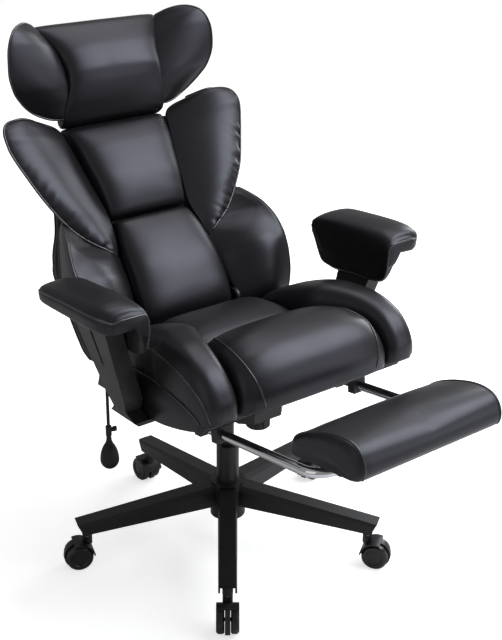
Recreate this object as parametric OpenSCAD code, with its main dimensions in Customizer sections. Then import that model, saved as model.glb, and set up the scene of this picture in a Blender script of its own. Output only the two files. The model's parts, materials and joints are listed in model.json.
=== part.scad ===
// Reclining office chair with a pull-out footrest.
// Millimetres. The origin is on the floor under the gas column, +Z up, and the sitter looks along -Y.
// The chair is drawn with its back part reclined and its footrest pulled out.

/* [Base star] */
// Number of legs and casters
leg_count = 5; // [4:1:6]
// Direction of the first leg, degrees from +X
star_turn = 232.5; // [180:0.5:270]
// Reach of a leg from the column to its tip
leg_reach = 345; // [320:1:380]
// Height of the upper edge at the tip of a leg
leg_tip_top = 111; // [106:1:120]
// Side depth of a leg at its tip
leg_tip_depth = 27; // [22:1:32]
// Side depth of a leg at the hub
leg_root_depth = 50; // [44:1:60]
// Width of a leg at the hub
leg_root_w = 44; // [38:1:52]
// Width of a leg at its tip
leg_tip_w = 38; // [34:1:44]
// Wall of the moulded star
star_wall = 4; // [3:0.5:5]
// Top of the hub
hub_top = 157; // [150:1:175]
// Underside of the hub
hub_bottom = 72; // [66:1:80]
// Diameter of the hub
hub_d = 78; // [70:1:90]

/* [Casters] */
// Wheel diameter
wheel_d = 58; // [50:1:62]
// Width of one wheel
wheel_w = 17; // [14:1:20]
// Distance from the stem to the axle
caster_trail = 21; // [16:1:24]
// Distance from the leg tip to the stem
stem_inset = 23; // [18:1:28]
// Stem diameter
stem_d = 11; // [9:0.5:12]
// Axle diameter
axle_d = 8; // [6:0.5:9]
// Thickness of the web between the wheels
web_t = 11; // [9:0.5:14]
// Wall of the caster hood
hood_wall = 3; // [2:0.5:4]

/* [Gas lift] */
// Diameter of the outer column
column_d = 50; // [46:1:54]
// Wall of the outer column
column_wall = 2.5; // [2:0.5:4]
// Top of the outer column
column_top = 245; // [235:1:255]
// Diameter of the sliding cylinder
cylinder_d = 28; // [26:1:32]
// Diameter of the piston rod
rod_d = 10; // [8:1:12]
// Stroke of the lift
lift_stroke = 70; // [50:1:75]
// Length of the guide bush
bush_l = 40; // [30:1:50]

/* [Mechanism] */
// Height of the tilt axle
tilt_z = 396; // [394:1:399]
// Width of the mechanism case
case_w = 120; // [100:1:140]
// Front overhang of the case
case_front = 138; // [130:1:145]
// Rear overhang of the case
case_rear = 76; // [72:1:84]
// Distance of the tilt axle behind the column
tilt_y = 45; // [42:1:50]
// Sheet thickness
sheet_t = 3; // [2:0.5:4]
// Height of the case wall
case_h = 38; // [34:1:42]
// Tilt axle diameter
tilt_axle_d = 12; // [10:1:14]
// Tension knob diameter
knob_d = 52; // [44:1:58]
// Tension knob height
knob_h = 26; // [20:1:28]
// Distance from the column to the tension knob
knob_reach = 105; // [98:1:110]

/* [Seat] */
// Underside of the seat pan
pan_z = 424; // [420:1:428]
// Thickness of the seat pan
pan_t = 12; // [9:1:14]
// Overall width of the seat
seat_w = 524; // [500:2:540]
// Distance from the column to the front of the seat core
seat_front = 262; // [250:1:270]
// Distance from the column to the rear of the seat core
seat_rear = 86; // [80:1:88]
// Thickness of the seat core above the pan
core_h = 78; // [70:1:84]
// Thickness of the middle seat cushion
cushion_h = 44; // [36:1:50]
// Height of the seat side bolsters
bolster_h = 86; // [70:1:92]
// Height of the front roll over the core
roll_h = 86; // [70:1:92]
// Width of the middle cushion at its front seam
cushion_w = 276; // [260:2:290]
// Width of the front roll at its foot
roll_w = 380; // [360:2:392]

/* [Back] */
// Height of the recline pivot
pivot_z = 515; // [510:1:520]
// Distance from the column to the recline pivot
pivot_y = 150; // [146:1:155]
// Lean of the back in the drawn pose, degrees
back_lean = 38; // [36:1:40]
// Height of the back above the pivot
back_h = 457; // [440:1:470]
// Half width of the back at the side bolsters
back_half = 261; // [250:1:266]
// Thickness of the plywood back board
board_t = 12; // [9:1:14]
// Thickness of the padded rear cover
rear_h = 37; // [30:1:42]
// Thickness of the hinge bars
bar_t = 5; // [4:0.5:6]
// Recline pin diameter
pin_d = 12; // [10:1:14]

/* [Headrest] */
// Height of the headrest underside above the pivot
head_low = 486; // [480:1:500]
// Height of the headrest
head_h = 176; // [160:1:190]
// Half width across the headrest wings
head_half = 264; // [240:1:275]
// Thickness of the headrest
head_t = 66; // [55:1:75]

/* [Armrests] */
// Distance from the middle to the outer edge of a pad
arm_out = 412; // [400:1:420]
// Width of the top of a pad
arm_pad_w = 108; // [95:1:115]
// Length of a pad
arm_pad_l = 292; // [270:2:310]
// Height of the top of a pad
arm_top = 712; // [700:1:725]
// Drop of the inner flap below the top
flap_drop = 122; // [100:1:130]
// Thickness of the pad
arm_pad_t = 50; // [40:1:54]
// Thickness of the foot of an arm post
foot_plate_t = 8; // [6:0.5:10]

/* [Footrest] */
// Distance between the two rails
rail_gap = 360; // [350:2:364]
// Diameter of the chromed tube
rail_d = 20; // [18:1:22]
// Distance from the column to the crossbar, footrest out
footrest_out = 500; // [490:1:510]
// Height of the crossbar
crossbar_z = 453; // [448:1:458]
// Rise of the rails towards the front, degrees
rail_rise = 7; // [5:0.5:8]
// Length of the rails
rail_l = 365; // [355:1:375]
// Stroke of the footrest
footrest_stroke = 210; // [190:1:215]
// Width of the footrest pad
foot_w = 368; // [350:2:380]
// Depth of the footrest pad
foot_l = 188; // [170:1:195]
// Thickness of the footrest pad
foot_h = 62; // [50:1:66]

/* [Lumbar pump] */
// Diameter of the hose
hose_d = 7; // [6:0.5:9]
// Length of the rubber bulb
bulb_l = 66; // [55:1:75]
// Diameter of the rubber bulb
bulb_d = 41; // [34:1:46]

/* [Hidden] */
$fn = 48;

// Overrun of every cut past the face that it opens
cut = 1;
// Running clearance of a shaft in its bore, on the radius
run = 0.05;
// Gap between a soft piece and what it lies on
seat_gap = 0.3;

leg_step = 360 / leg_count;
wheel_r = wheel_d / 2;
stem_r = leg_reach - stem_inset;
seat_half = seat_w / 2;
column_r = column_d / 2;
cylinder_r = cylinder_d / 2;
rod_r = rod_d / 2;
rail_r = rail_d / 2;

// Straight step from a to b at the share t
function mix(a, b, t) = a + (b - a) * t;
// A power that keeps the sign
function spow(v, e) = sign(v) * pow(abs(v), e);

// A closed section of a pad: sides at +-half, a crown above and a flatter base below
function pad_ring(half, crown, base, count, top_e, base_e) = [
  for (k = [0:count - 1])
    let (a = 360 * (k + 0.5) / count, up = sin(a) > 0)
      [half * spow(cos(a), up ? top_e : base_e), (up ? crown : base) * spow(sin(a), up ? top_e : base_e)]
];

// A closed section of a pad on a flat base: a crown from one side to the other, then one straight line back
function pad_arc(half, crown, count, e) = [
  for (k = [0:count])
    let (a = 180 * k / count)
      [half * spow(cos(a), e), crown * pow(max(sin(a), 0), e)]
];

// A closed solid through rings that all have the same number of points
module loft(rings, flip = false) {
  n = len(rings[0]);
  m = len(rings);
  points = [for (ring = rings) for (p = ring) p];
  sides = [for (i = [0:m - 2]) for (k = [0:n - 1])
    [i * n + k, i * n + (k + 1) % n, (i + 1) * n + (k + 1) % n, (i + 1) * n + k]];
  tris = [for (q = sides) each [[q[0], q[1], q[2]], [q[0], q[2], q[3]]]];
  caps = [[for (k = [n - 1:-1:0]) k], [for (k = [0:n - 1]) (m - 1) * n + k]];
  faces = concat(tris, caps);
  polyhedron(points, flip ? [for (f = faces) [for (k = [len(f) - 1:-1:0]) f[k]]] : faces, convexity = 6);
}

// Puts its children in the frame of the back: X across, Z up the back, -Y out of its front
module on_back() {
  translate([0, pivot_y, pivot_z]) rotate([-back_lean, 0, 0]) children();
}

// Puts its children in the frame of the footrest: crossbar on X, rails along +Y
module on_rails() {
  translate([0, -footrest_out, crossbar_z]) rotate([-rail_rise, 0, 0]) children();
}

// Copies its children at each leg, with the leg along +X
module at_legs() {
  for (k = [0:leg_count - 1]) at_leg(k) children();
}

module at_leg(k) {
  rotate([0, 0, star_turn + leg_step * k]) children();
}

// A piece made for the sitter's left, or its mirror image for the right
module handed(left) {
  if (left) children();
  else mirror([1, 0, 0]) children();
}

// Extrudes a profile drawn in X and Z through the depth from y0 to y1
module slab_xz(y0, y1) {
  translate([0, y1, 0]) rotate([90, 0, 0]) linear_extrude(y1 - y0) children();
}

// Extrudes a profile drawn in Y and Z through the width from x0 to x1
module slab_yz(x0, x1) {
  translate([x0, 0, 0]) rotate([90, 0, 90]) linear_extrude(x1 - x0) children();
}

// A tube or ring standing on z0
module ring(r_out, r_in, z0, h) {
  translate([0, 0, z0]) difference() {
    cylinder(r = r_out, h = h);
    translate([0, 0, -cut]) cylinder(r = r_in, h = h + 2 * cut);
  }
}

// Base star: five ribbed legs moulded round one hub
hub_r = hub_d / 2;
leg_flat_r = hub_r * 0.6;
tip_undercut = 13;
leg_bevel = 7;
pocket_r = hub_r * 0.8;
leg_bevel_drop = 11;
rib_t = 3;
rib_shares = [0.36, 0.52, 0.68, 0.82];
boss_r = 11;
boss_drop = 7;
leg_top_drop = 2;
leg_top = hub_top - leg_top_drop;
leg_slope = atan((leg_top - leg_tip_top) / (leg_reach - leg_flat_r));
leg_bevel_rise = leg_flat_r * 0.4;
leg_tip_low = leg_tip_top - leg_tip_depth;
stem_low = leg_tip_low - boss_drop;
stem_fit = 0.03;

module leg_block(inset) {
  drop = inset > 0 ? leg_top : 0;
  intersection() {
    slab_xz(-leg_root_w, leg_root_w) polygon([
      [inset > 0 ? pocket_r : 0, leg_top - inset], [max(leg_flat_r, inset > 0 ? pocket_r : 0), leg_top - inset],
      [leg_reach - inset, leg_tip_top - inset],
      [leg_reach - tip_undercut - inset, leg_tip_low - drop],
      [inset > 0 ? pocket_r : 0, leg_top - leg_root_depth - drop]
    ]);
    translate([0, 0, -leg_top]) linear_extrude(2 * leg_top) polygon([
      [0, -leg_root_w / 2 + inset], [leg_reach, -leg_tip_w / 2 + inset],
      [leg_reach, leg_tip_w / 2 - inset], [0, leg_root_w / 2 - inset]
    ]);
    translate([0, 0, leg_top - inset]) rotate([0, leg_slope, 0]) translate([-leg_reach / 2, 0, 0])
      rotate([90, 0, 90]) linear_extrude(2 * leg_reach) polygon([
        [-leg_root_w, -2 * leg_top], [-leg_root_w, -leg_bevel_drop * 2], [-leg_root_w / 2 + inset, -leg_bevel_drop],
        [-leg_root_w / 2 + leg_bevel + inset, leg_bevel_rise], [leg_root_w / 2 - leg_bevel - inset, leg_bevel_rise],
        [leg_root_w / 2 - inset, -leg_bevel_drop], [leg_root_w, -leg_bevel_drop * 2], [leg_root_w, -2 * leg_top]
      ]);
  }
}

module leg() {
  difference() {
    leg_block(0);
    difference() {
      leg_block(star_wall);
      for (share = rib_shares)
        translate([leg_reach * share, -leg_root_w, 0]) cube([rib_t, 2 * leg_root_w, hub_top]);
    }
  }
  translate([stem_r, 0, stem_low]) cylinder(r = boss_r, h = leg_tip_top + star_wall * 0.35 - stem_low);
}

module base_star() {
  color("#1b1b1d") difference() {
    union() {
      translate([0, 0, hub_bottom]) cylinder(r = hub_r, h = hub_top - hub_bottom);
      at_legs() leg();
    }
    translate([0, 0, hub_bottom - cut]) cylinder(r = column_r + run, h = hub_top - hub_bottom + 2 * cut);
    at_legs() translate([stem_r, 0, stem_low - cut])
      cylinder(r = stem_d / 2 + stem_fit, h = stem_h + cut + run);
  }
}

// Casters: stem in the leg, hood that swivels on it, twin wheels on one axle
stem_h = 27;
journal_r = 4.5;
journal_h = 19;
collar_r = 9;
collar_h = 2.4;
hood_boss_r = 10.5;
wheel_gap = 1;
hood_gap = 2;
tyre_r = 3;
face_step = 2;
cap_share = 0.58;
hood_r = wheel_r + hood_gap + hood_wall;
hood_half = web_t / 2 + wheel_gap + wheel_w;
hood_top = stem_low - collar_h - seat_gap;
hood_low = wheel_r * 1.1;
web_low = wheel_r * 0.3;

module caster_stems() {
  color("#a9adb1") at_legs() translate([stem_r, 0, 0]) {
    translate([0, 0, stem_low]) cylinder(d = stem_d, h = stem_h);
    translate([0, 0, stem_low - collar_h]) cylinder(r = collar_r, h = collar_h);
    translate([0, 0, hood_top - journal_h]) cylinder(r = journal_r, h = journal_h + collar_h);
  }
}

// Puts its children at the axle of one caster, with the axle on Z
module on_axle(k) {
  at_leg(k) translate([stem_r + caster_trail, 0, wheel_r]) rotate([90, 0, 0]) children();
}

module caster_hood(k) {
  color("#1b1b1d") difference() {
    union() {
      intersection() {
        on_axle(k) translate([0, 0, -hood_half]) difference() {
          cylinder(r = hood_r, h = 2 * hood_half);
          translate([0, 0, -cut]) cylinder(r = hood_r - hood_wall, h = 2 * (hood_half + cut));
        }
        at_leg(k) translate([stem_r - 2 * hood_r, -hood_half, hood_low])
          cube([2 * hood_r + caster_trail * 1.5, 2 * hood_half, hood_r]);
      }
      intersection() {
        on_axle(k) translate([0, 0, -web_t / 2]) cylinder(r = hood_r - hood_wall / 2, h = web_t);
        at_leg(k) translate([stem_r - hood_r, -hood_half, web_low]) cube([3 * hood_r, 2 * hood_half, 2 * hood_r]);
      }
      at_leg(k) translate([stem_r, 0, hood_top - journal_h]) cylinder(r = hood_boss_r, h = journal_h);
    }
    on_axle(k) translate([0, 0, -web_t]) cylinder(r = axle_d / 2 + run, h = 2 * web_t);
    at_leg(k) translate([stem_r, 0, hood_top - journal_h - run])
      cylinder(r = journal_r + run, h = journal_h + cut);
    // Room for the wheels under the boss
    for (s = [-1, 1]) on_axle(k) translate([0, 0, s * (web_t + wheel_w) / 2 + s * wheel_gap / 2 - wheel_w / 2 - wheel_gap / 2])
      cylinder(r = wheel_r + hood_gap / 2, h = wheel_w + wheel_gap + cut * (1 + s) / 2);
  }
}

module wheel() {
  rotate_extrude() polygon([
    [0, 0], [wheel_r - tyre_r, 0], [wheel_r, tyre_r], [wheel_r, wheel_w - tyre_r * 1.4],
    [wheel_r - tyre_r * 1.2, wheel_w], [wheel_r * cap_share * 1.12, wheel_w],
    [wheel_r * cap_share, wheel_w - face_step], [0, wheel_w - face_step / 2]
  ]);
}

module caster_wheels(k) {
  axle_half = web_t / 2 + wheel_gap + face_step;
  color("#161618") on_axle(k) {
    for (s = [0, 1]) rotate([180 * s, 0, 0]) translate([0, 0, web_t / 2 + wheel_gap]) wheel();
    translate([0, 0, -axle_half]) cylinder(d = axle_d, h = 2 * axle_half);
  }
}

// Gas lift
tube_rise = 2;
tube_low = hub_bottom + tube_rise;
tube_floor = 4;
bearing_h = 6;
bearing_r = 11;
rod_shoulder_r = 9;
rod_shoulder_h = 4;
piston_h = 10;
cylinder_wall = 2.5;
cylinder_low = 184;
cylinder_top = 384;
cylinder_end = 8;
button_r = 4;
button_h = 3;
column_in = column_r - column_wall;
cylinder_in = cylinder_r - cylinder_wall;
rod_low = tube_low + tube_floor;

module column_tube() {
  color("#202023") difference() {
    translate([0, 0, tube_low]) cylinder(r = column_r, h = column_top - tube_low);
    translate([0, 0, rod_low]) cylinder(r = column_in, h = column_top);
    translate([0, 0, tube_low - cut]) cylinder(r = rod_r + run, h = tube_floor + 2 * cut);
  }
}

module column_bush() {
  lip = column_wall / 2;
  color("#2b2b2e") {
    ring(column_in - stem_fit, cylinder_r + run, column_top - bush_l, bush_l);
    ring(column_r, cylinder_r + run, column_top, lip);
  }
}

module thrust_bearing() {
  color("#8d9195") ring(bearing_r, rod_r + run, rod_low, bearing_h);
}

module lift_rod() {
  rod_top = cylinder_top - lift_stroke - 2 * cylinder_end;
  color("#c9ccd0") {
    translate([0, 0, tube_low]) cylinder(r = rod_r, h = rod_top - tube_low);
    translate([0, 0, rod_low + bearing_h + run]) cylinder(r = rod_shoulder_r, h = rod_shoulder_h);
    translate([0, 0, rod_top - piston_h]) cylinder(r = cylinder_in - run, h = piston_h);
  }
}

module lift_cylinder() {
  color("#b8bbbf") {
    difference() {
      translate([0, 0, cylinder_low]) cylinder(r = cylinder_r, h = cylinder_top - cylinder_low);
      translate([0, 0, cylinder_low + cylinder_end])
        cylinder(r = cylinder_in, h = cylinder_top - cylinder_low - 2 * cylinder_end);
      translate([0, 0, cylinder_low - cut]) cylinder(r = rod_r + run, h = cylinder_end + 2 * cut);
    }
    translate([0, 0, cylinder_top]) cylinder(r = button_r, h = button_h);
  }
}

// Tilt mechanism
axle_drop = 36;
case_z = tilt_z - axle_drop;
socket_l = 28;
socket_low = case_z - socket_l;
socket_r = 20;
socket_flare = 23;
sleeve_r = 17;
arm_gap_half = 30;
arm_w = 8;
arm_h = 10;
bolt_r = 5;
bolt_head_r = 9;
bolt_head_h = 6;
case_chamfer = 24;
wall_hole_r = 4.7;
case_half = case_w / 2;

module cone_socket() {
  color("#3a3b3e") rotate_extrude() polygon([
    [cylinder_r + stem_fit, socket_low], [socket_r, socket_low], [socket_flare, case_z], [socket_flare, cylinder_top],
    [cylinder_r + stem_fit, cylinder_top]
  ]);
}

module case_plan(inset) {
  polygon([
    [-case_half + inset, case_rear - inset], [case_half - inset, case_rear - inset],
    [case_half - inset, case_chamfer - case_front], [case_half - case_chamfer, inset - case_front],
    [case_chamfer - case_half, inset - case_front], [inset - case_half, case_chamfer - case_front]
  ]);
}

module mechanism_case() {
  color("#26272a") difference() {
    translate([0, 0, case_z]) linear_extrude(case_h) case_plan(0);
    translate([0, 0, case_z + sheet_t]) linear_extrude(case_h) case_plan(sheet_t);
    translate([0, 0, case_z - cut]) cylinder(r = socket_flare + stem_fit, h = sheet_t + 2 * cut);
    translate([0, -knob_reach, case_z - cut]) cylinder(r = bolt_r + run, h = sheet_t + 2 * cut);
    translate([-case_w, tilt_y, tilt_z]) rotate([0, 90, 0]) cylinder(d = tilt_axle_d + 2 * stem_fit, h = 2 * case_w);
    translate([0, 0, lever_z]) rotate([0, 90, 0]) cylinder(r = wall_hole_r, h = case_w);
    // Open rear wall, as pressed steel housings have
    translate([sheet_t - case_half, case_rear - 2 * sheet_t, case_z + sheet_t])
      cube([case_w - 2 * sheet_t, 3 * sheet_t, case_h]);
  }
}

module torsion_sleeve() {
  arm_z = tilt_z - sleeve_r - arm_h / 2;
  bar_y = -knob_reach - arm_h;
  color("#4a4c50") difference() {
    union() {
      translate([-case_half + 2 * sheet_t, tilt_y, tilt_z]) rotate([0, 90, 0])
        cylinder(r = sleeve_r, h = case_w - 4 * sheet_t);
      for (s = [-1, 1]) translate([s * (arm_gap_half + arm_w / 2) - arm_w / 2, bar_y, arm_z])
        cube([arm_w, tilt_y - bar_y, arm_h]);
      translate([-arm_gap_half - arm_w, bar_y, arm_z]) cube([2 * (arm_gap_half + arm_w), 2 * arm_h, arm_h]);
    }
    translate([-case_w, tilt_y, tilt_z]) rotate([0, 90, 0]) cylinder(d = tilt_axle_d + 2 * stem_fit, h = 2 * case_w);
    translate([0, -knob_reach, case_z]) cylinder(r = bolt_r + run, h = case_h);
  }
}

module tilt_axle() {
  head = 3;
  half = case_half + seat_gap + 2 * sheet_t;
  color("#b9bcc0") translate([0, tilt_y, tilt_z]) rotate([0, 90, 0]) {
    translate([0, 0, -half]) cylinder(d = tilt_axle_d, h = 2 * half);
    for (s = [-1, 1]) translate([0, 0, s > 0 ? half : -half - head]) cylinder(r = tilt_axle_d * 0.75, h = head);
  }
}

module tension_bolt() {
  nut_z = tilt_z - sleeve_r + arm_h / 2 + run;
  color("#b9bcc0") translate([0, -knob_reach, 0]) {
    translate([0, 0, case_z - knob_h * 0.7]) cylinder(r = bolt_r, h = nut_z + bolt_head_h - case_z + knob_h * 0.7);
    translate([0, 0, nut_z]) cylinder(r = bolt_head_r, h = bolt_head_h, $fn = 6);
  }
}

module tension_knob() {
  flutes = 10;
  flute_r = knob_d * 0.09;
  color("#1a1a1c") translate([0, -knob_reach, case_z - seat_gap - knob_h]) difference() {
    rotate_extrude() polygon([
      [0, 0], [knob_d * 0.44, 0], [knob_d / 2, knob_h * 0.12], [knob_d / 2, knob_h * 0.8],
      [knob_d * 0.4, knob_h], [0, knob_h]
    ]);
    translate([0, 0, knob_h * 0.25]) cylinder(r = bolt_r + run, h = knob_h);
    for (k = [0:flutes - 1]) rotate([0, 0, 360 / flutes * k]) translate([knob_d / 2 + flute_r / 2, 0, -cut])
      cylinder(r = flute_r, h = knob_h + 2 * cut);
  }
}

// Levers, both on the sitter's left
lever_r = 4;
lever_gap = 3.6;
lever_z = cylinder_top + button_h + lever_r + lever_gap;
lever_inset = 26;
lever_out = seat_half - lever_inset;
// The lift lever steps down on its way out, so that it passes under the stowed rail
lever_drop = 27;
lever_bend_in = 70;
lever_bend_out = 150;
lever_sides = 12;
lever_shares = [0, 0.12, 0.27, 0.42, 0.58, 0.73, 0.88, 1];
paddle_l = 64;
paddle_w = 26;
paddle_t = 9;

module paddle(l) {
  translate([0, 0, -paddle_t / 2]) linear_extrude(paddle_t) polygon([
    [0, -paddle_w * 0.3], [l * 0.25, -paddle_w / 2], [l * 0.85, -paddle_w / 2], [l, -paddle_w * 0.3],
    [l, paddle_w * 0.3], [l * 0.85, paddle_w / 2], [l * 0.25, paddle_w / 2], [0, paddle_w * 0.3]
  ]);
}

function lever_ring(x, drop) = [
  for (k = [0:lever_sides - 1]) let (a = 360 / lever_sides * k) [x, lever_r * cos(a), lever_z - drop + lever_r * sin(a)]
];

module lift_lever() {
  color("#202022") {
    loft(concat(
      [lever_ring(-lever_r, 0)],
      [for (t = lever_shares) lever_ring(mix(lever_bend_in, lever_bend_out, t), lever_drop * t * t * (3 - 2 * t))],
      [lever_ring(lever_out + 2 * lever_r, lever_drop)]
    ), true);
    translate([lever_out, 0, lever_z - lever_drop]) paddle(paddle_l);
  }
}

recline_lever_y = 96;
recline_lever_z = 407;
recline_lever_in = 136;
recline_lever_gap = 6;
recline_lever_out = seat_half + recline_lever_gap;
recline_grip_l = 70;
recline_grip_t = 11;
hanger_t = 8;
hanger_r = 9;
hanger_spots = [recline_lever_in + lever_gap * 2, lever_out];

module recline_lever() {
  color("#202022") {
    translate([recline_lever_in, recline_lever_y, recline_lever_z]) rotate([0, 90, 0])
      cylinder(r = lever_r, h = recline_lever_out - recline_lever_in + recline_grip_t / 2);
    translate([recline_lever_out, 0, 0]) slab_yz(0, recline_grip_t) translate([recline_lever_y, recline_lever_z])
      polygon([
        [paddle_w / 2, -paddle_w / 4], [paddle_w / 2, paddle_w / 4], [0, paddle_w / 2],
        [-recline_grip_l, paddle_w * 0.4], [-recline_grip_l - paddle_w * 0.2, 0],
        [-recline_grip_l, -paddle_w * 0.3], [0, -paddle_w / 2]
      ]);
  }
}

// Seat structure
pan_inset = 12;
pan_half = seat_half - pan_inset;
pan_rear = 118;
pan_front_inset = 2;
pan_level = 90;
pan_rise = 40;
pan_bend = 1.6;
pan_shares = [0, 0.24, 0.48, 0.72, 0.9, 1];
bracket_half = 92;
bracket_front = -130;
bracket_rear = 112;
bracket_t = 4;
ear_r = 15;
seat_bolt_r = 4;
seat_bolt_head = 7;
seat_bolt_head_h = 5;
bracket_bolts = [[-72, -100], [72, -100], [-72, 88], [72, 88]];
post_front = -88;
post_rear = -2;
arm_bolt_edge = 18;
arm_bolt_in = 50;
arm_bolt_out = 22;
arm_bolts = [
  [seat_half - arm_bolt_in, post_front + arm_bolt_edge], [seat_half - arm_bolt_in, post_rear - arm_bolt_edge],
  [seat_half - arm_bolt_out, (post_front + post_rear) / 2]
];
// Height of the underside of the pan at the depth y
function pan_low(y) = pan_z + (y >= -pan_level ? 0 : pan_rise * pow((-pan_level - y) / (seat_front - pan_level), pan_bend));
function pan_line() = [for (share = pan_shares) mix(-pan_level, pan_front_inset - seat_front, share)];

module pan_profile(extra = 0) {
  ys = pan_line();
  polygon(concat(
    [[pan_rear + extra, pan_z - extra]], [for (y = ys) [y, pan_low(y) - extra]],
    [for (k = [len(ys) - 1:-1:0]) [ys[k], pan_low(ys[k]) + pan_t + extra]], [[pan_rear + extra, pan_z + pan_t + extra]]
  ));
}

module seat_pan() {
  color("#1c1c1f") difference() {
    slab_yz(-pan_half, pan_half) pan_profile();
    for (p = bracket_bolts) bolt_hole(p);
    for (s = [-1, 1]) for (p = arm_bolts) bolt_hole([s * p.x, p.y]);
    translate([-hose_x, hose_y, pan_z - cut]) cylinder(r = grommet_r + stem_fit, h = pan_t + 2 * cut);
  }
}

module bolt_hole(p) {
  translate([p.x, p.y, pan_z - cut]) cylinder(r = seat_bolt_r + run, h = pan_t + 2 * cut);
}

module seat_bolt(p, low) {
  translate([p.x, p.y, low - seat_bolt_head_h]) cylinder(r = seat_bolt_head, h = seat_bolt_head_h, $fn = 6);
  translate([p.x, p.y, low - seat_bolt_head_h / 2]) cylinder(r = seat_bolt_r, h = pan_z + pan_t - low + seat_bolt_head_h / 2);
}

module seat_bolts() {
  color("#9da1a6") {
    for (p = bracket_bolts) seat_bolt(p, pan_z - bracket_t);
    for (s = [-1, 1]) for (p = arm_bolts) seat_bolt([s * p.x, p.y], pan_z - foot_plate_t);
  }
}

module seat_bracket() {
  ear_in = case_half + seat_gap;
  color("#26272a") difference() {
    union() {
      translate([0, 0, pan_z - bracket_t]) linear_extrude(bracket_t) polygon([
        [-bracket_half, bracket_front + case_chamfer], [-bracket_half + case_chamfer, bracket_front],
        [bracket_half - case_chamfer, bracket_front], [bracket_half, bracket_front + case_chamfer],
        [bracket_half, bracket_rear], [-bracket_half, bracket_rear]
      ]);
      for (s = [-1, 1]) translate([s > 0 ? ear_in : -ear_in - sheet_t, 0, 0]) slab_yz(0, sheet_t) union() {
        translate([tilt_y, tilt_z]) circle(r = ear_r);
        translate([tilt_y - ear_r, tilt_z]) square([2 * ear_r, pan_z - bracket_t / 2 - tilt_z]);
      }
    }
    translate([-case_w, tilt_y, tilt_z]) rotate([0, 90, 0]) cylinder(d = tilt_axle_d + 2 * run, h = 2 * case_w);
    for (p = bracket_bolts) translate([p.x, p.y, pan_z - 2 * bracket_t]) cylinder(r = seat_bolt_r + run, h = 3 * bracket_t);
  }
}

// The upper line of the seat core, from its rear edge at share 0 to its front edge at share 1
core_low = pan_z + pan_t;
core_depth = seat_rear + seat_front;
core_front_rise = 8;
function core_at(q) = [seat_rear - core_depth * q, core_low + core_h * pow(1 - pow(q, 5), 0.2) + core_front_rise * q];
function core_dir(q) = let (a = core_at(max(q - 0.004, 0)), b = core_at(min(q + 0.002, 1))) (b - a) / norm(b - a);
// The outward direction square to that line
function core_out(q) = let (t = core_dir(q)) [-t.y * -1, -t.x];
core_line_shares = [0, 0.03, 0.12, 0.3, 0.49, 0.6, 0.72, 0.82, 0.9, 0.95, 0.98, 0.995];

// One upright slice of the core at x, shrunk towards its middle
function core_slice(x, shrink, low) =
  let (
    ys = pan_line(),
    mid = [(seat_rear - seat_front) / 2, core_low + core_h / 2],
    base = concat([[pan_rear - pan_t / 2, core_low - low]], [for (y = ys) [y, pan_low(y) + pan_t - low]]),
    top = [for (k = [len(core_line_shares) - 1:-1:0]) core_at(core_line_shares[k])]
  )
  [for (p = concat(base, top)) let (q = mid + [(p.x - mid.x) * shrink, (p.y - mid.y) * (p.y > mid.y ? 1 - (1 - shrink) * 2 : shrink)]) [x, q.x, q.y]];

module seat_core() {
  color("#232326") loft(concat(
    [core_slice(-seat_half, 0.93, pan_t), core_slice(-seat_half * 0.992, 0.975, pan_t), core_slice(-seat_half * 0.97, 1, pan_t)],
    [core_slice(-pan_half - seat_gap, 1, pan_t), core_slice(-pan_half, 1, 0), core_slice(0, 1, 0), core_slice(pan_half, 1, 0)],
    [core_slice(pan_half + seat_gap, 1, pan_t), core_slice(seat_half * 0.97, 1, pan_t), core_slice(seat_half * 0.992, 0.975, pan_t)],
    [core_slice(seat_half, 0.93, pan_t)]
  ));
}

// A ring of an upper seat piece: from xi to xo across, crowned away from the core line
function seat_ring(q, xi, xo, crown, count, e) =
  let (c = core_at(q), n = core_out(q), mid = (xi + xo) / 2, half = (xo - xi) / 2)
  [for (p = pad_arc(half, crown, count, e)) let (o = c + n * (seat_gap + p.y)) [mid + p.x, o.x, o.y]];

cushion_shares = [
  [0, 0.458, 0.14], [0.01, 0.492, 0.45], [0.05, 0.504, 0.77], [0.15, 0.511, 0.95],
  [0.3, 0.519, 1.02], [0.42, 0.523, 0.91], [0.47, 0.523, 0.68], [0.485, 0.504, 0.36]
];

module seat_cushion() {
  half = cushion_w / 2 / 0.523;
  color("#2a2a2e") loft([for (r = cushion_shares) seat_ring(r[0], -half * r[1], half * r[1], cushion_h * r[2], 14, 0.5)],
    true);
}

roll_shares = [
  [0.492, 0.642, 0.09], [0.497, 0.705, 0.33], [0.52, 0.732, 0.51], [0.6, 0.8, 0.79], [0.72, 0.879, 1.02],
  [0.82, 0.937, 1.13], [0.9, 0.974, 1.13], [0.95, 0.989, 1], [0.98, 0.995, 0.79], [0.995, 0.989, 0.58]
];

module seat_roll() {
  half = roll_w / 2;
  color("#2a2a2e") loft([for (r = roll_shares) seat_ring(r[0], -half * r[1], half * r[1], roll_h * r[2], 16, 0.5)], true);
}

// Side bolsters: their inner edge follows the cushion as far as its front seam, and the front roll from there on
seam_share = 0.5;
bolster_shares = [
  [0, 1.16, 0.931, 0.04], [0.015, 1.06, 0.975, 0.1], [0.04, 1.02, 0.99, 0.22], [0.07, 1.014, 0.996, 0.36],
  [0.15, 1.008, 1, 0.54], [0.3, 1.008, 1, 0.79], [0.47, 1.014, 1, 1.02], [0.52, 0.747, 1, 1.07], [0.6, 0.811, 1, 1.1],
  [0.72, 0.895, 1, 1.09], [0.82, 0.953, 1, 1.02], [0.9, 0.99, 0.996, 0.88], [0.95, 1.005, 0.992, 0.7],
  [0.98, 1.011, 0.985, 0.51], [0.995, 1.016, 0.973, 0.35]
];

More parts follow.
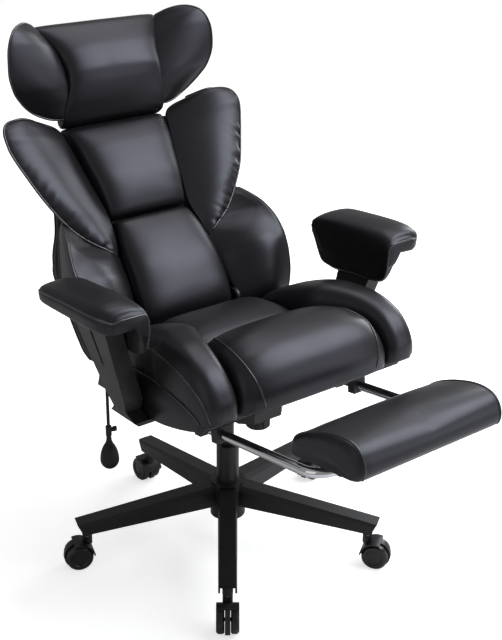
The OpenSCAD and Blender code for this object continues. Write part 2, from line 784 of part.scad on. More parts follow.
module seat_bolster(left) {
  color("#232326") handed(left) loft([for (r = bolster_shares)
    seat_ring(r[0], (r[0] < seam_share ? cushion_w : roll_w) / 2 * r[1], seat_half * r[2], bolster_h * r[3], 14, 0.62)], true);
}

// Armrests
arm_low = arm_top - arm_pad_t;
arm_inner = arm_out - arm_pad_w;
flap_t = 26;
flap_low_t = 6.5;
post_gap = 4;
post_step = 22;
post_foot_l = 66;
post_draft = 2;
post_foot_in = seat_half - post_foot_l;
post_in = seat_half + post_gap;
post_foot_out = post_in + post_step;
post_bend_z = 468;
post_flap_gap = 3;
post_top_gap = 8;
post_head_w = 38;
post_top_in = arm_inner + flap_t + post_top_gap;
post_top_out = post_top_in + post_head_w;
post_chamfer = 9;
neck_front = -66;
neck_rear = -22;
head_front = -112;
head_rear = 8;
slot_half = 4;

module arm_post(left) {
  color("#1d1d1f") handed(left) difference() {
    intersection() {
      slab_xz(head_front * 2, head_rear * 2) polygon([
        [post_foot_in, pan_z - foot_plate_t], [post_foot_out, pan_z - foot_plate_t],
        [post_foot_out + post_chamfer, pan_z], [post_top_out, arm_low], [post_top_in, arm_low],
        [arm_inner + flap_low_t + post_flap_gap, arm_top - flap_drop], [post_in + post_draft, post_bend_z],
        [post_in, pan_z], [post_foot_in, pan_z]
      ]);
      slab_yz(0, arm_out) polygon([
        [post_front, pan_z - foot_plate_t], [post_rear, pan_z - foot_plate_t], [post_rear, pan_z],
        [neck_rear, pan_z + 2 * post_chamfer], [neck_rear + post_chamfer, post_bend_z], [head_rear, arm_low],
        [head_front, arm_low], [neck_front - post_chamfer, post_bend_z], [neck_front, pan_z + 2 * post_chamfer],
        [post_front, pan_z]
      ]);
    }
    for (p = arm_bolts) translate([p.x, p.y, pan_z - 2 * foot_plate_t])
      cylinder(r = seat_bolt_r + run, h = 3 * foot_plate_t);
    // Groove down the outer face
    slab_yz(post_top_in, arm_out) polygon([
      [(neck_front + neck_rear) / 2 - slot_half / 2, pan_z], [(neck_front + neck_rear) / 2 + slot_half / 2, pan_z],
      [(head_front + head_rear) / 2 + slot_half, arm_low + cut], [(head_front + head_rear) / 2 - slot_half, arm_low + cut]
    ]);
  }
}

arm_pad_front = -202;
arm_pad_shares = [
  [0, 0.24, 0.45, 0.62], [0.02, 0.37, 0.46, 0.84], [0.08, 0.574, 0.47, 0.94], [0.158, 0.759, 0.56, 1],
  [0.212, 0.889, 0.787, 1], [0.253, 0.981, 0.918, 1], [0.445, 1, 0.984, 0.97], [0.685, 1, 1, 0.9],
  [0.842, 0.991, 0.951, 0.84], [0.904, 0.972, 0.721, 0.8], [0.952, 0.926, 0.5, 0.74], [0.986, 0.815, 0.46, 0.62],
  [1, 0.648, 0.44, 0.5]
];

// The outer face of the flap at the height z, which clears the leaning post
function flap_x(z) = arm_inner + mix(flap_low_t, flap_t, (z - arm_top + flap_drop) / (flap_drop - arm_pad_t));

function arm_ring(r) =
  let (
    y = arm_pad_front + arm_pad_l * r[0], xo = arm_inner + arm_pad_w * r[1],
    low = arm_top - flap_drop * r[2], top = arm_low + arm_pad_t * r[3], e = (top - arm_low) * 0.3, knee = mix(low, arm_low, 0.3),
    x_top = min(flap_x(arm_low), mix(arm_inner, xo, 0.6))
  )
  [
    [xo - e / 2, y, arm_low], [xo, y, arm_low + e], [xo, y, top - e * 1.3], [xo - e, y, top - e * 0.4],
    [mix(arm_inner, xo, 0.6), y, top], [mix(arm_inner, xo, 0.3), y, top - e * 0.2], [arm_inner + e * 0.5, y, top - e * 0.9],
    [arm_inner, y, top - e * 2], [arm_inner, y, knee], [arm_inner + flap_low_t * 0.3, y, low],
    [mix(arm_inner, min(flap_x(low), x_top), 0.8), y, low], [min(flap_x(knee), x_top), y, knee],
    [x_top, y, arm_low]
  ];

module arm_pad(left) {
  color("#26262a") handed(left) loft([for (r = arm_pad_shares) arm_ring(r)]);
}

// Recline hinge
hinge_in = 125;
hinge_r = 22;
hinge_leg_front = 118.6;
hinge_leg_rear = 146;
hinge_foot_front = 60;
hinge_foot_t = 7;
hinge_foot_in = 96;
bar_top = 446;

module recline_ears() {
  foot_low = pan_z - hinge_foot_t;
  color("#3a3b3e") for (left = [true, false]) handed(left) difference() {
    union() {
      slab_yz(hinge_in, hinge_in + bar_t) union() {
        translate([pivot_y, pivot_z]) circle(r = hinge_r);
        polygon([
          [pivot_y - hinge_r * 0.9, pivot_z - hinge_r * 0.4], [pivot_y + hinge_r * 0.9, pivot_z - hinge_r * 0.4],
          [hinge_leg_rear, foot_low], [hinge_foot_front, foot_low], [hinge_foot_front, pan_z], [hinge_leg_front, pan_z]
        ]);
      }
      translate([hinge_foot_in, hinge_foot_front, foot_low])
        cube([hinge_in + bar_t - hinge_foot_in, hinge_leg_rear - hinge_foot_front, hinge_foot_t]);
    }
    translate([0, pivot_y, pivot_z]) rotate([0, 90, 0]) cylinder(d = pin_d + 2 * stem_fit, h = seat_w);
  }
  color("#3a3b3e") for (x = hanger_spots) translate([x, 0, 0]) lever_hanger();
}

// Bearing blocks of the recline lever, under the sitter's left
module lever_hanger() {
  slab_yz(0, hanger_t) difference() {
    union() {
      translate([recline_lever_y, recline_lever_z]) circle(r = hanger_r);
      translate([recline_lever_y - hanger_r, recline_lever_z]) square([2 * hanger_r, pan_z - recline_lever_z]);
    }
    translate([recline_lever_y, recline_lever_z]) circle(r = lever_r + run);
  }
}

module recline_pins() {
  head = 2.5;
  pin_l = 2 * bar_t + 3 * seat_gap;
  color("#b9bcc0") for (left = [true, false]) handed(left)
    translate([hinge_in - head, pivot_y, pivot_z]) rotate([0, 90, 0]) {
      cylinder(d = pin_d, h = pin_l + head);
      cylinder(r = pin_d * 0.75, h = head - stem_fit);
      translate([0, 0, pin_l + head]) cylinder(r = pin_d * 0.75, h = head);
    }
}

// Lumbar pump
hose_inset = 24;
hose_x = seat_half - hose_inset;
hose_y = 108;
hose_l = 100;
grommet_r = 6;
grommet_flange_r = 9;
grommet_flange_h = 4;
valve_h = 22;
valve_r = 6.5;
screw_l = 13;
neck_l = 14;
hose_top = pan_z - grommet_flange_h;
hose_route = [[-238, 108, 420], [-238, 108, 405], [-238, 108, 385], [-238, 108, 365], [-238, 108, 345], [-238, 108, 320]];

module hose_grommet() {
  color("#141416") translate([-hose_x, hose_y, 0]) {
    translate([0, 0, hose_top]) cylinder(r = grommet_flange_r, h = grommet_flange_h);
    translate([0, 0, pan_z]) cylinder(r = grommet_r, h = pan_t);
  }
}

module lumbar_hose() {
  sides = 10;
  color("#141416") translate([-hose_x - hose_route[0].x, 0, 0]) loft([for (p = hose_route) [for (k = [0:sides - 1])
    p + hose_d / 2 * [cos(360 / sides * k), sin(360 / sides * k), 0]]], true);
}

valve_top = hose_top - hose_l;
valve_mid = valve_top - valve_h / 2;

module bulb_valve() {
  color("#151517") translate([-hose_x, hose_y, 0]) difference() {
    union() {
      translate([0, 0, valve_top - valve_h]) cylinder(r = valve_r, h = valve_h);
      translate([0, 0, valve_mid]) rotate([0, 90, 0]) cylinder(r = valve_r * 0.7, h = valve_r + screw_l * 0.4);
    }
    translate([valve_r, 0, valve_mid]) rotate([0, 90, 0]) cylinder(r = valve_r * 0.35, h = screw_l);
  }
}

module valve_screw() {
  x = valve_r + screw_l * 0.4 + stem_fit;
  color("#2c2c30") translate([-hose_x, hose_y, valve_mid]) rotate([0, 90, 0]) {
    translate([0, 0, x - screw_l * 0.35]) cylinder(r = valve_r * 0.35 - run, h = screw_l * 0.4);
    translate([0, 0, x]) difference() {
      cylinder(r = valve_r * 0.9, h = screw_l * 0.5);
      translate([0, -valve_r, screw_l * 0.35]) translate([-valve_r * 0.15, 0, 0]) cube([valve_r * 0.3, 2 * valve_r, screw_l]);
    }
  }
}

module pump_bulb() {
  low = valve_top - valve_h - neck_l - bulb_l;
  r = bulb_d / 2;
  color("#161618") translate([-hose_x, hose_y, low]) rotate_extrude() polygon(concat(
    [for (a = [-90:10:60]) [r * cos(a) * (a > 0 ? 1 - 0.12 * pow(a / 60, 2) : 1), r * 1.05 + (a > 0 ? bulb_l - r * 1.05 : r * 1.05) * sin(a)]],
    [[valve_r * 0.95, bulb_l + neck_l * 0.1], [valve_r * 0.8, bulb_l + neck_l], [0, bulb_l + neck_l]]
  ));
}

// Footrest
bend_r = 45;
tube_bore_l = 40;
tube_wall = 1.6;
clip_x = 120;
clip_w = 26;
clip_r = 15;
clip_plate_t = 5;
clip_plate_l = 54;
pad_lift = 24;
guide_w = 32;
guide_l = 20;
guide_drop = 15;
guide_spots = [280, 336];
rail_half = rail_gap / 2;

module footrest_tube() {
  color("#c8cacd") on_rails() {
    for (s = [-1, 1]) difference() {
      translate([s * rail_half, bend_r, 0]) rotate([-90, 0, 0]) cylinder(r = rail_r, h = rail_l - bend_r);
      translate([s * rail_half, rail_l - tube_bore_l, 0]) rotate([-90, 0, 0])
        cylinder(r = rail_r - tube_wall, h = tube_bore_l + cut);
    }
    for (s = [0, 1]) mirror([s, 0, 0]) translate([rail_half - bend_r, bend_r, 0]) rotate([0, 0, -90])
      rotate_extrude(angle = 90) translate([bend_r, 0]) circle(r = rail_r);
    translate([bend_r - rail_half, 0, 0]) rotate([0, 90, 0]) cylinder(r = rail_r, h = rail_gap - 2 * bend_r);
  }
}

module rail_guides() {
  color("#1f1f22") for (s = [-1, 1]) for (spot = guide_spots) difference() {
    mid_y = -footrest_out + (spot + guide_l / 2) * cos(rail_rise);
    on_rails() translate([s * rail_half - guide_w / 2, spot, -guide_drop])
      cube([guide_w, guide_l, guide_drop + pan_low(mid_y) + pan_t / 2 - crossbar_z + (mid_y + footrest_out) * tan(rail_rise)]);
    on_rails() translate([s * rail_half, spot - cut, 0]) rotate([-90, 0, 0])
      cylinder(r = rail_r + run, h = guide_l + 2 * cut);
    slab_yz(-pan_half - guide_w, pan_half + guide_w) pan_profile();
  }
}

module footrest_clips() {
  color("#1f1f22") on_rails() for (s = [-1, 1]) translate([s * clip_x - clip_w / 2, 0, 0]) difference() {
    union() {
      rotate([0, 90, 0]) cylinder(r = clip_r, h = clip_w);
      translate([0, -clip_r, 0]) cube([clip_w, 2 * clip_r, pad_lift - clip_plate_t / 2]);
      translate([-clip_w * 0.2, -clip_plate_l / 2, pad_lift - clip_plate_t]) cube([clip_w * 1.4, clip_plate_l, clip_plate_t]);
    }
    translate([-cut, 0, 0]) rotate([0, 90, 0]) cylinder(r = rail_r + run, h = clip_w + 2 * cut);
  }
}

foot_rear = 78;
foot_outline_shares = [
  [0, 0.04], [0, 0.26], [0.02, 0.42], [0.09, 0.58], [0.22, 0.74], [0.38, 0.87], [0.54, 0.96], [0.68, 1],
  [0.81, 0.98], [0.91, 0.87], [0.975, 0.66], [1, 0.4], [0.992, 0.16], [0.95, 0], [0.04, 0]
];
foot_slice_shares = [
  [-1, 0.8], [-0.993, 0.88], [-0.975, 0.95], [-0.94, 0.99], [-0.85, 1], [-0.4, 1.01], [0, 1.02],
  [0.4, 1.01], [0.85, 1], [0.94, 0.99], [0.975, 0.95], [0.993, 0.88], [1, 0.8]
];

function foot_slice(x, k) =
  let (mid = foot_rear - foot_l / 2)
  [for (p = foot_outline_shares) [x, mid + (foot_l / 2 - foot_l * p.x) * min(k, 1), pad_lift + seat_gap + foot_h * p.y * k]];

module footrest_pad() {
  color("#26262a") on_rails() loft([for (r = foot_slice_shares) foot_slice(foot_w / 2 * r[0], r[1])], true);
}

// Back structure, in the frame of the back
board_front = 3;
board_back = board_front + board_t;
slot_in = hinge_in - 3;
slot_out = hinge_in + 2 * bar_t + 4;
slot_top = hinge_r + 4;
board_shares = [
  [0.5, -0.06], [0.9, -0.045], [0.96, 0.02], [0.965, 0.34], [0.9, 0.45], [0.78, 0.56], [0.72, 0.68], [0.63, 0.96],
  [0.6, 0.995], [0.56, 1]
];

module ear_slots(depth_from, depth_to) {
  for (s = [-1, 1]) translate([s > 0 ? slot_in : -slot_out, depth_from, -back_h])
    cube([slot_out - slot_in, depth_to - depth_from, back_h + slot_top]);
}

module back_board() {
  outline = concat([for (p = board_shares) [back_half * p.x, back_h * p.y]],
    [for (k = [len(board_shares) - 1:-1:0]) [-back_half * board_shares[k].x, back_h * board_shares[k].y]]);
  color("#1c1c1f") on_back() difference() {
    slab_xz(board_front, board_back) polygon(outline);
    ear_slots(board_front - cut, board_back + cut);
  }
}

bar_front = board_back + seat_gap;
bar_depth = 20;
cross_h = 26;
cross_t = 6;
cross_spots = [110, 380];
strap_half = 50;
strap_low = 396;
strap_top = 548;
strap_t = 6;

module back_frame() {
  x = hinge_in + bar_t + seat_gap;
  color("#3a3b3e") on_back() {
    for (left = [true, false]) handed(left) difference() {
      slab_yz(x, x + bar_t) union() {
        circle(r = hinge_r);
        polygon([
          [-hinge_r * 0.2, hinge_r * 0.95], [bar_front, slot_top - seat_gap], [bar_front, bar_top], [bar_front + bar_depth, bar_top],
          [bar_front + bar_depth, slot_top], [hinge_r * 0.95, 0]
        ]);
      }
      rotate([0, 90, 0]) cylinder(d = pin_d + 2 * run, h = seat_w);
    }
    for (z = cross_spots) translate([-x, bar_front + bar_depth / 4, z]) cube([2 * x, cross_t, cross_h]);
    translate([-strap_half, bar_front, strap_low]) cube([2 * strap_half, strap_t, strap_top - strap_low]);
  }
}

rear_shares = [
  [-0.127, 0.862, 0.22], [-0.114, 0.927, 0.65], [-0.08, 0.966, 0.92], [-0.025, 0.985, 1], [0.328, 0.989, 1],
  [0.438, 0.927, 1], [0.547, 0.828, 1], [0.656, 0.766, 0.97], [0.875, 0.682, 0.92], [0.976, 0.644, 0.76],
  [1, 0.605, 0.49], [1.01, 0.559, 0.16]
];

module rear_cover() {
  x = hinge_in + bar_t;
  color("#232326") on_back() difference() {
    loft([for (r = rear_shares) [for (p = pad_arc(back_half * r[1], rear_h * r[2], 14, 0.35))
      [p.x, board_back + seat_gap + p.y, back_h * r[0]]]], true);
    ear_slots(board_back - cut, board_back + 2 * rear_h);
    translate([-x - bar_t - 2 * seat_gap, board_back - cut, slot_top - seat_gap])
      cube([2 * (x + bar_t + 2 * seat_gap), bar_depth + cut + 2 * seat_gap, bar_top - slot_top + 2 * seat_gap]);
    translate([-strap_half - seat_gap, board_back - cut, strap_low])
      cube([2 * (strap_half + seat_gap), strap_t + cut + 2 * seat_gap, back_h]);
  }
}

// Soft pieces of the back; crowns and depths are shares of the side bolster's height
lobe_h = 122;
pad_base = -board_front + seat_gap;
function back_ring(z, half, crown, count, e) =
  [for (p = pad_arc(half, crown, count, e)) [p.x, -(pad_base + p.y), z]];

low_panel_shares = [
  [-0.037, 0.383, 0.08], [-0.026, 0.421, 0.23], [0.044, 0.444, 0.39], [0.118, 0.464, 0.43], [0.236, 0.452, 0.47],
  [0.365, 0.425, 0.41], [0.47, 0.379, 0.31], [0.499, 0.364, 0.18], [0.505, 0.345, 0.07]
];

module back_panel_lower() {
  color("#2a2a2e") on_back()
    loft([for (r = low_panel_shares) back_ring(back_h * r[0], back_half * r[1], lobe_h * r[2], 14, 0.5)], true);
}

up_panel_shares = [
  [0.516, 0.352, 0.07], [0.527, 0.379, 0.21], [0.591, 0.398, 0.34], [0.722, 0.433, 0.43], [0.853, 0.467, 0.43],
  [0.952, 0.49, 0.34], [0.987, 0.502, 0.2], [0.998, 0.483, 0.07]
];

module back_panel_upper() {
  color("#2a2a2e") on_back()
    loft([for (r = up_panel_shares) back_ring(back_h * r[0], back_half * r[1], lobe_h * r[2], 14, 0.5)], true);
}

lobe_shares = [
  [-0.092, 0.575, 0.92, 0.08], [-0.074, 0.548, 0.973, 0.28], [-0.039, 0.544, 0.996, 0.47], [0.009, 0.544, 1, 0.69],
  [0.066, 0.544, 1, 0.85], [0.131, 0.487, 1, 0.96], [0.219, 0.467, 1, 1.02], [0.306, 0.452, 1, 0.95],
  [0.341, 0.49, 1, 0.88], [0.414, 0.7, 1, 0.7], [0.47, 0.8, 1, 0.51], [0.525, 0.87, 0.996, 0.28],
  [0.547, 0.9, 0.981, 0.12]
];

module back_bolster(left) {
  color("#232326") on_back() handed(left) loft([for (r = lobe_shares)
    let (mid = back_half * (r[1] + r[2]) / 2, half = back_half * (r[2] - r[1]) / 2)
    [for (p = back_ring(back_h * r[0], half, lobe_h * r[3], 14, 0.7)) p + [mid, 0, 0]]], true);
}

wing_shares = [
  [0.345, 0.462, 0.48, 0.148, 0.197], [0.372, 0.444, 0.56, 0.164, 0.23], [0.414, 0.429, 0.685, 0.148, 0.262],
  [0.468, 0.41, 0.782, 0.131, 0.295], [0.523, 0.402, 0.851, 0.115, 0.344], [0.643, 0.425, 0.977, 0.115, 0.492],
  [0.768, 0.46, 1.07, 0.115, 0.533], [0.853, 0.483, 1.13, 0.115, 0.541], [0.902, 0.498, 1.16, 0.115, 0.557],
  [0.954, 0.513, 1.15, 0.115, 0.623], [0.989, 0.525, 1.12, 0.115, 0.689], [1, 0.556, 1.08, 0.1, 0.705]
];
wing_bulge = 20;
wing_lip = 12;
wing_count = 9;

// A ring of a wing: its front bulges between the seam at xi and the edge at xo, its rear slopes back to the board
function wing_ring(z, xi, xo, di, dor, base, bulge, lip) = concat(
  [for (k = [0:wing_count]) let (t = k / wing_count)
    [mix(xi, xo, t), -(mix(di, dor, t) + bulge * pow(sin(180 * t), 0.8)), z]],
  [for (k = [wing_count:-1:0]) let (t = k / wing_count)
    [mix(xi, xo, t), -mix(base, dor - lip, pow(t, 1.3)), z]]
);

module back_wing(left) {
  color("#26262a") on_back() handed(left) loft([for (r = wing_shares)
    wing_ring(back_h * r[0], back_half * r[1], back_half * r[2], lobe_h * r[3], lobe_h * r[4], pad_base,
      wing_bulge * min(1, (r[2] - r[1]) * 2), wing_lip)]);
}

// Headrest
head_shares = [
  [0, 0.447, 0.52, 0.15, 0.39], [0.034, 0.477, 0.64, 0.33, 0.76], [0.227, 0.436, 1.03, 0.45, 1.256],
  [0.345, 0.436, 1.2, 0.5, 1.426], [0.483, 0.439, 1.32, 0.55, 1.24], [0.744, 0.5, 1.42, 0.52, 1.12],
  [0.938, 0.568, 1.36, 0.39, 0.85], [0.989, 0.591, 1.3, 0.21, 0.52], [1, 0.568, 1.27, 0.09, 0.27]
];

module headrest() {
  color("#2a2a2e") on_back() loft([for (r = head_shares)
    [for (p = pad_ring(head_half * r[1], head_t * r[3], head_t * r[4], 28, 0.55, 0.4))
      [p.x, -(head_t * r[2] + p.y), head_low + head_h * r[0]]]], true);
}

head_wing_shares = [
  [0, 0.489, 0.54, 0.5, 0.5], [0.028, 0.485, 0.705, 0.72, 0.576], [0.136, 0.458, 0.879, 0.98, 1.06],
  [0.295, 0.443, 0.989, 1.25, 1.58], [0.545, 0.462, 1.01, 1.46, 1.79], [0.688, 0.498, 0.955, 1.53, 2.18],
  [0.818, 0.54, 0.864, 1.53, 2.5], [0.909, 0.575, 0.803, 1.5, 2.48], [0.943, 0.6, 0.76, 1.46, 2.36]
];
head_wing_bulge = 16;
head_wing_base = 0.75;

module headrest_wing(left) {
  color("#26262a") on_back() handed(left) loft([for (r = head_wing_shares)
    wing_ring(head_low + head_h * r[0], head_half * r[1], head_half * r[2], head_t * r[3], head_t * r[4],
      head_t * (r[3] - head_wing_base), head_wing_bulge * min(1, (r[2] - r[1]) * 2), wing_lip)]);
}

base_star();
column_tube();
column_bush();
thrust_bearing();
caster_stems();
caster_hood(0);  // caster_hood_1
caster_hood(1);  // caster_hood_2
caster_hood(2);  // caster_hood_3
caster_hood(3);  // caster_hood_4
caster_hood(4);  // caster_hood_5
caster_wheels(0);  // caster_wheels_1
caster_wheels(1);  // caster_wheels_2
caster_wheels(2);  // caster_wheels_3
caster_wheels(3);  // caster_wheels_4
caster_wheels(4);  // caster_wheels_5
lift_rod();
lift_cylinder();
cone_socket();
mechanism_case();
torsion_sleeve();
tilt_axle();
tension_bolt();
tension_knob();
lift_lever();
seat_bracket();
seat_pan();
seat_core();
seat_cushion();
seat_roll();
seat_bolster(true);  // seat_bolster_left
seat_bolster(false);  // seat_bolster_right
seat_bolts();
arm_post(true);  // arm_post_left
arm_post(false);  // arm_post_right
arm_pad(true);  // arm_pad_left
arm_pad(false);  // arm_pad_right
rail_guides();
recline_ears();
recline_pins();
recline_lever();
hose_grommet();
lumbar_hose();
bulb_valve();
valve_screw();
pump_bulb();
footrest_tube();
footrest_clips();
footrest_pad();
back_frame();
back_board();
rear_cover();
back_panel_lower();
back_panel_upper();
back_bolster(true);  // back_bolster_left
back_bolster(false);  // back_bolster_right
back_wing(true);  // back_wing_left
back_wing(false);  // back_wing_right
headrest();
headrest_wing(true);  // headrest_wing_left
headrest_wing(false);  // headrest_wing_right
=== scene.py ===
"""Looks of a reclining office chair with a slide-out footrest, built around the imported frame.

Lengths in the dataclasses are in millimetres, as in the part's source, and meshes are made in metres.
"""

import json
import logging
import math
from dataclasses import dataclass, field
from enum import Enum
from typing import Callable, Sequence

import bmesh
import bpy
import numpy as np
from mathutils import Matrix, Vector
from mathutils.bvhtree import BVHTree

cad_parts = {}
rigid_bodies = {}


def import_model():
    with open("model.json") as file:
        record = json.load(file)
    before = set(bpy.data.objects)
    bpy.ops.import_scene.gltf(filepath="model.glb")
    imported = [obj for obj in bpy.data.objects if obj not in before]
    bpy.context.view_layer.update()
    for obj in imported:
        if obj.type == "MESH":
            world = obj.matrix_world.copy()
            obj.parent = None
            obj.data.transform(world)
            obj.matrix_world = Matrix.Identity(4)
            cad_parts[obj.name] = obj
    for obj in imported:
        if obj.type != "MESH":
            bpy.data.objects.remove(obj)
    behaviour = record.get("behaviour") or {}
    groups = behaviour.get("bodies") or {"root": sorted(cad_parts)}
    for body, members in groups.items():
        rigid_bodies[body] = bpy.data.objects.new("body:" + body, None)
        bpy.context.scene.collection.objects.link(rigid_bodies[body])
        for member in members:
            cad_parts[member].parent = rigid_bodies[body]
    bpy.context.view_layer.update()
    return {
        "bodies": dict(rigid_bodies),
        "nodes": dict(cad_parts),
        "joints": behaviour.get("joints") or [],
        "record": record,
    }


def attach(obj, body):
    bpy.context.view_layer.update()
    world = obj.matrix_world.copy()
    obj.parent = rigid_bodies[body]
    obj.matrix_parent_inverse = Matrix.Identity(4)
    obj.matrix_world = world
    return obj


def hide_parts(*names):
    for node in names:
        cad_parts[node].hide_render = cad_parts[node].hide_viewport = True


MM = 0.001
TINY = 1e-12
LOG = logging.getLogger("chair")
Table = Sequence[Sequence[float]]
Colour = tuple[float, float, float]
Faces = list[tuple[int, ...]]

SECTIONS = 240  # sections that a table is drawn out to
FACE_POINTS = 60  # points across a face, before they are spaced evenly
BASE_POINTS = 12  # points across the base of a pad
RING_POINTS = 96  # points of an armrest's section
PROFILE_POINTS = 120  # points of a lower bolster's and of the footrest's section
OUTLINE_POINTS = 180  # points of the seat core's outline
TUBE_END = 0.55  # radius of a tube's ends, as a share
TUBE_SIDES = 10
THREAD_SIDES = 6


class Side(Enum):
    """Side of the chair, as the sitter has it."""

    LEFT = 1
    RIGHT = -1

    @property
    def word(self) -> str:
        """The side as it stands in the names of pieces."""
        return self.name.lower()

    @property
    def flip(self) -> np.ndarray:
        """What points of the left side are multiplied by to stand on this side."""
        return np.array([float(self.value), 1.0, 1.0])


class Edge(Enum):
    """Edge of a skin: its first row, its last row, its first column or its last column."""

    START = 1
    END = 2
    FIRST = 3
    LAST = 4


# Curves, grids and small fields


def between(a: float, b: float, share: float) -> float:
    """The value at a share of the way from a to b."""
    return a + (b - a) * share


def running(steps: np.ndarray) -> np.ndarray:
    """The sum of the steps before each point, from zero."""
    return np.concatenate([[0.0], np.cumsum(steps)])


def length_of(path: np.ndarray) -> float:
    """The length of a path."""
    return float(np.linalg.norm(np.diff(path, axis=0), axis=1).sum())


def row_places(grid: np.ndarray) -> np.ndarray:
    """The mean distance of each row of a grid from its first row."""
    return running(np.linalg.norm(np.diff(grid, axis=0), axis=2).mean(axis=1))


def blend_rows(grid: np.ndarray, places: np.ndarray, at: np.ndarray) -> np.ndarray:
    """Reads an array between its rows.

    Args:
        grid: Array whose first direction is read.
        places: Place of each row.
        at: Places that are wanted.

    Returns:
        One row for each place in at.
    """
    flat = grid.reshape(len(grid), -1)
    rows = np.stack([np.interp(at, places, column) for column in flat.T], axis=1)
    return rows.reshape(len(at), *grid.shape[1:])


def smooth_rows(table: Table, weights: Sequence[float], count: int = SECTIONS) -> np.ndarray:
    """Draws a smooth line through the rows of a table, without overshoot.

    Args:
        table: Rows of equal length.
        weights: Real size of each column, which sets how far apart two rows are.
        count: Rows to return.

    Returns:
        An array of count rows, spaced evenly along the line.
    """
    rows = np.array(table, float)
    steps = np.linalg.norm(np.diff(rows, axis=0) * np.array(weights, float), axis=1)
    t = running(steps)
    slope = np.diff(rows, axis=0) / steps[:, None]
    tangent = np.zeros_like(rows)
    tangent[0], tangent[-1] = slope[0], slope[-1]
    same = slope[1:] * slope[:-1] > 0
    total = np.where(same, slope[1:] + slope[:-1], 1.0)
    tangent[1:-1] = np.where(same, 2 * slope[1:] * slope[:-1] / total, 0.0)
    at = np.linspace(0, t[-1], count)
    span = np.clip(np.searchsorted(t, at, side="right") - 1, 0, len(steps) - 1)
    h = steps[span][:, None]
    x = ((at - t[span])[:, None]) / h
    a, b, c, d = 2 * x**3 - 3 * x**2 + 1, x**3 - 2 * x**2 + x, -2 * x**3 + 3 * x**2, x**3 - x**2
    return a * rows[span] + b * h * tangent[span] + c * rows[span + 1] + d * h * tangent[span + 1]


def resample(points: np.ndarray, count: int) -> np.ndarray:
    """Spaces points evenly along a line.

    Args:
        points: Points of the line, one per row.
        count: Points to return.

    Returns:
        An array of count points.
    """
    t = running(np.linalg.norm(np.diff(points, axis=0), axis=1))
    return blend_rows(points, t, np.linspace(0, t[-1], count))


def round_line(points: Sequence[Sequence[float]], count: int, closed: bool = False) -> np.ndarray:
    """Draws a Catmull-Rom curve through points.

    Args:
        points: Points that the curve passes.
        count: Points to return.
        closed: Whether the curve ends where it starts.

    Returns:
        An array of count points, spaced evenly.
    """
    p = np.array(points, float)
    p = np.vstack([p[-1:], p, p[:2]]) if closed else np.vstack([2 * p[0] - p[1], p, 2 * p[-1] - p[-2]])
    x = np.linspace(0, 1, 12, endpoint=False)[:, None]
    parts = []
    for k in range(1, len(p) - 2):
        a, b, c, d = p[k - 1], p[k], p[k + 1], p[k + 2]
        parts.append(b + 0.5 * x * (c - a + x * (2 * a - 5 * b + 4 * c - d + x * (3 * (b - c) + d - a))))
    return resample(np.vstack([*parts, p[-2:-1]]), count)


def even_rows(grid: np.ndarray, step: float) -> np.ndarray:
    """Spaces the rows of a grid of points evenly.

    Args:
        grid: Points, rows by columns by coordinates.
        step: Distance wanted between rows, in metres.

    Returns:
        The new grid.
    """
    t = row_places(grid)
    return blend_rows(grid, t, np.linspace(0, t[-1], max(8, int(t[-1] / step))))


def both_sides(rows: np.ndarray, length: float, half: float, crown: float) -> np.ndarray:
    """Rows of a pad that is its own mirror image.

    Args:
        rows: Rows of place, half width and crown, as shares.
        length: What a place is a share of.
        half: What a half width is a share of.
        crown: What a crown is a share of.

    Returns:
        Rows of place, inner edge, outer edge and crown.
    """
    return np.stack([rows[:, 0] * length, -rows[:, 1] * half, rows[:, 1] * half, rows[:, 2] * crown], axis=1)


def arch(half: float, crown: float, power: float, count: int = 97) -> np.ndarray:
    """A pad's section over its flat base, from the side at +half to the side at -half.

    Args:
        half: Half of the width.
        crown: Height.
        power: 1 for half an ellipse, less for a boxier section.
        count: Points to return.

    Returns:
        Points with the place across and the height.
    """
    a = np.linspace(0, math.pi, count)
    across = np.sign(np.cos(a)) * np.abs(np.cos(a)) ** power * half
    return np.stack([across, crown * np.clip(np.sin(a), 0, 1) ** power], axis=1)


def cloud(points: np.ndarray, wavelength: float, seed: int, waves: int = 9) -> np.ndarray:
    """A smooth uneven field, for the slight waviness of padding.

    Args:
        points: Points in metres.
        wavelength: Mean length of a wave, in metres.
        seed: Seed of the waves' directions.
        waves: Number of waves that are summed.

    Returns:
        The field at each point, mostly from -1 to 1.
    """
    rng = np.random.default_rng(seed)
    total = np.zeros(points.shape[:-1])
    for _ in range(waves):
        way = rng.normal(size=3)
        way *= 2 * math.pi / (wavelength * rng.uniform(0.6, 1.7)) / np.linalg.norm(way)
        total += np.sin(points @ way + rng.uniform(0, 2 * math.pi))
    return total / math.sqrt(waves)


@dataclass(frozen=True)
class Puckers:
    """Short creases that run in from a sewn edge, where the leather is gathered."""

    depth: float = 1.6
    reach: float = 26
    pitch: float = 17
    width: float = 4.5
    start: float = 0.0
    end: float = 1.0

    def height(self, along: np.ndarray, away: np.ndarray, seed: int) -> np.ndarray:
        """Height of the creased leather.

        Args:
            along: Distance along the edge, in metres.
            away: Distance from the edge, in metres.
            seed: Seed of the creases' places.

        Returns:
            Height in metres, below zero in a crease.
        """
        rng = np.random.default_rng(seed)
        low, high = along.min(), along.max()
        spots = np.arange(low + (high - low) * self.start, low + (high - low) * self.end, self.pitch * MM)
        out = np.zeros_like(along)
        for spot in spots:
            centre = spot + rng.uniform(-0.4, 0.4) * self.pitch * MM
            lean = rng.uniform(-0.15, 0.15)
            width = self.width * MM * rng.uniform(0.7, 1.4)
            reach = self.reach * MM * rng.uniform(0.5, 1.3)
            across = (along - centre - lean * away) / width
            shape = -np.exp(-(across**2)) + 0.45 * np.exp(-((np.abs(across) - 1.9) ** 2))
            out += self.depth * MM * rng.uniform(0.4, 1.2) * shape * np.exp(-((away / reach) ** 1.6))
        return out


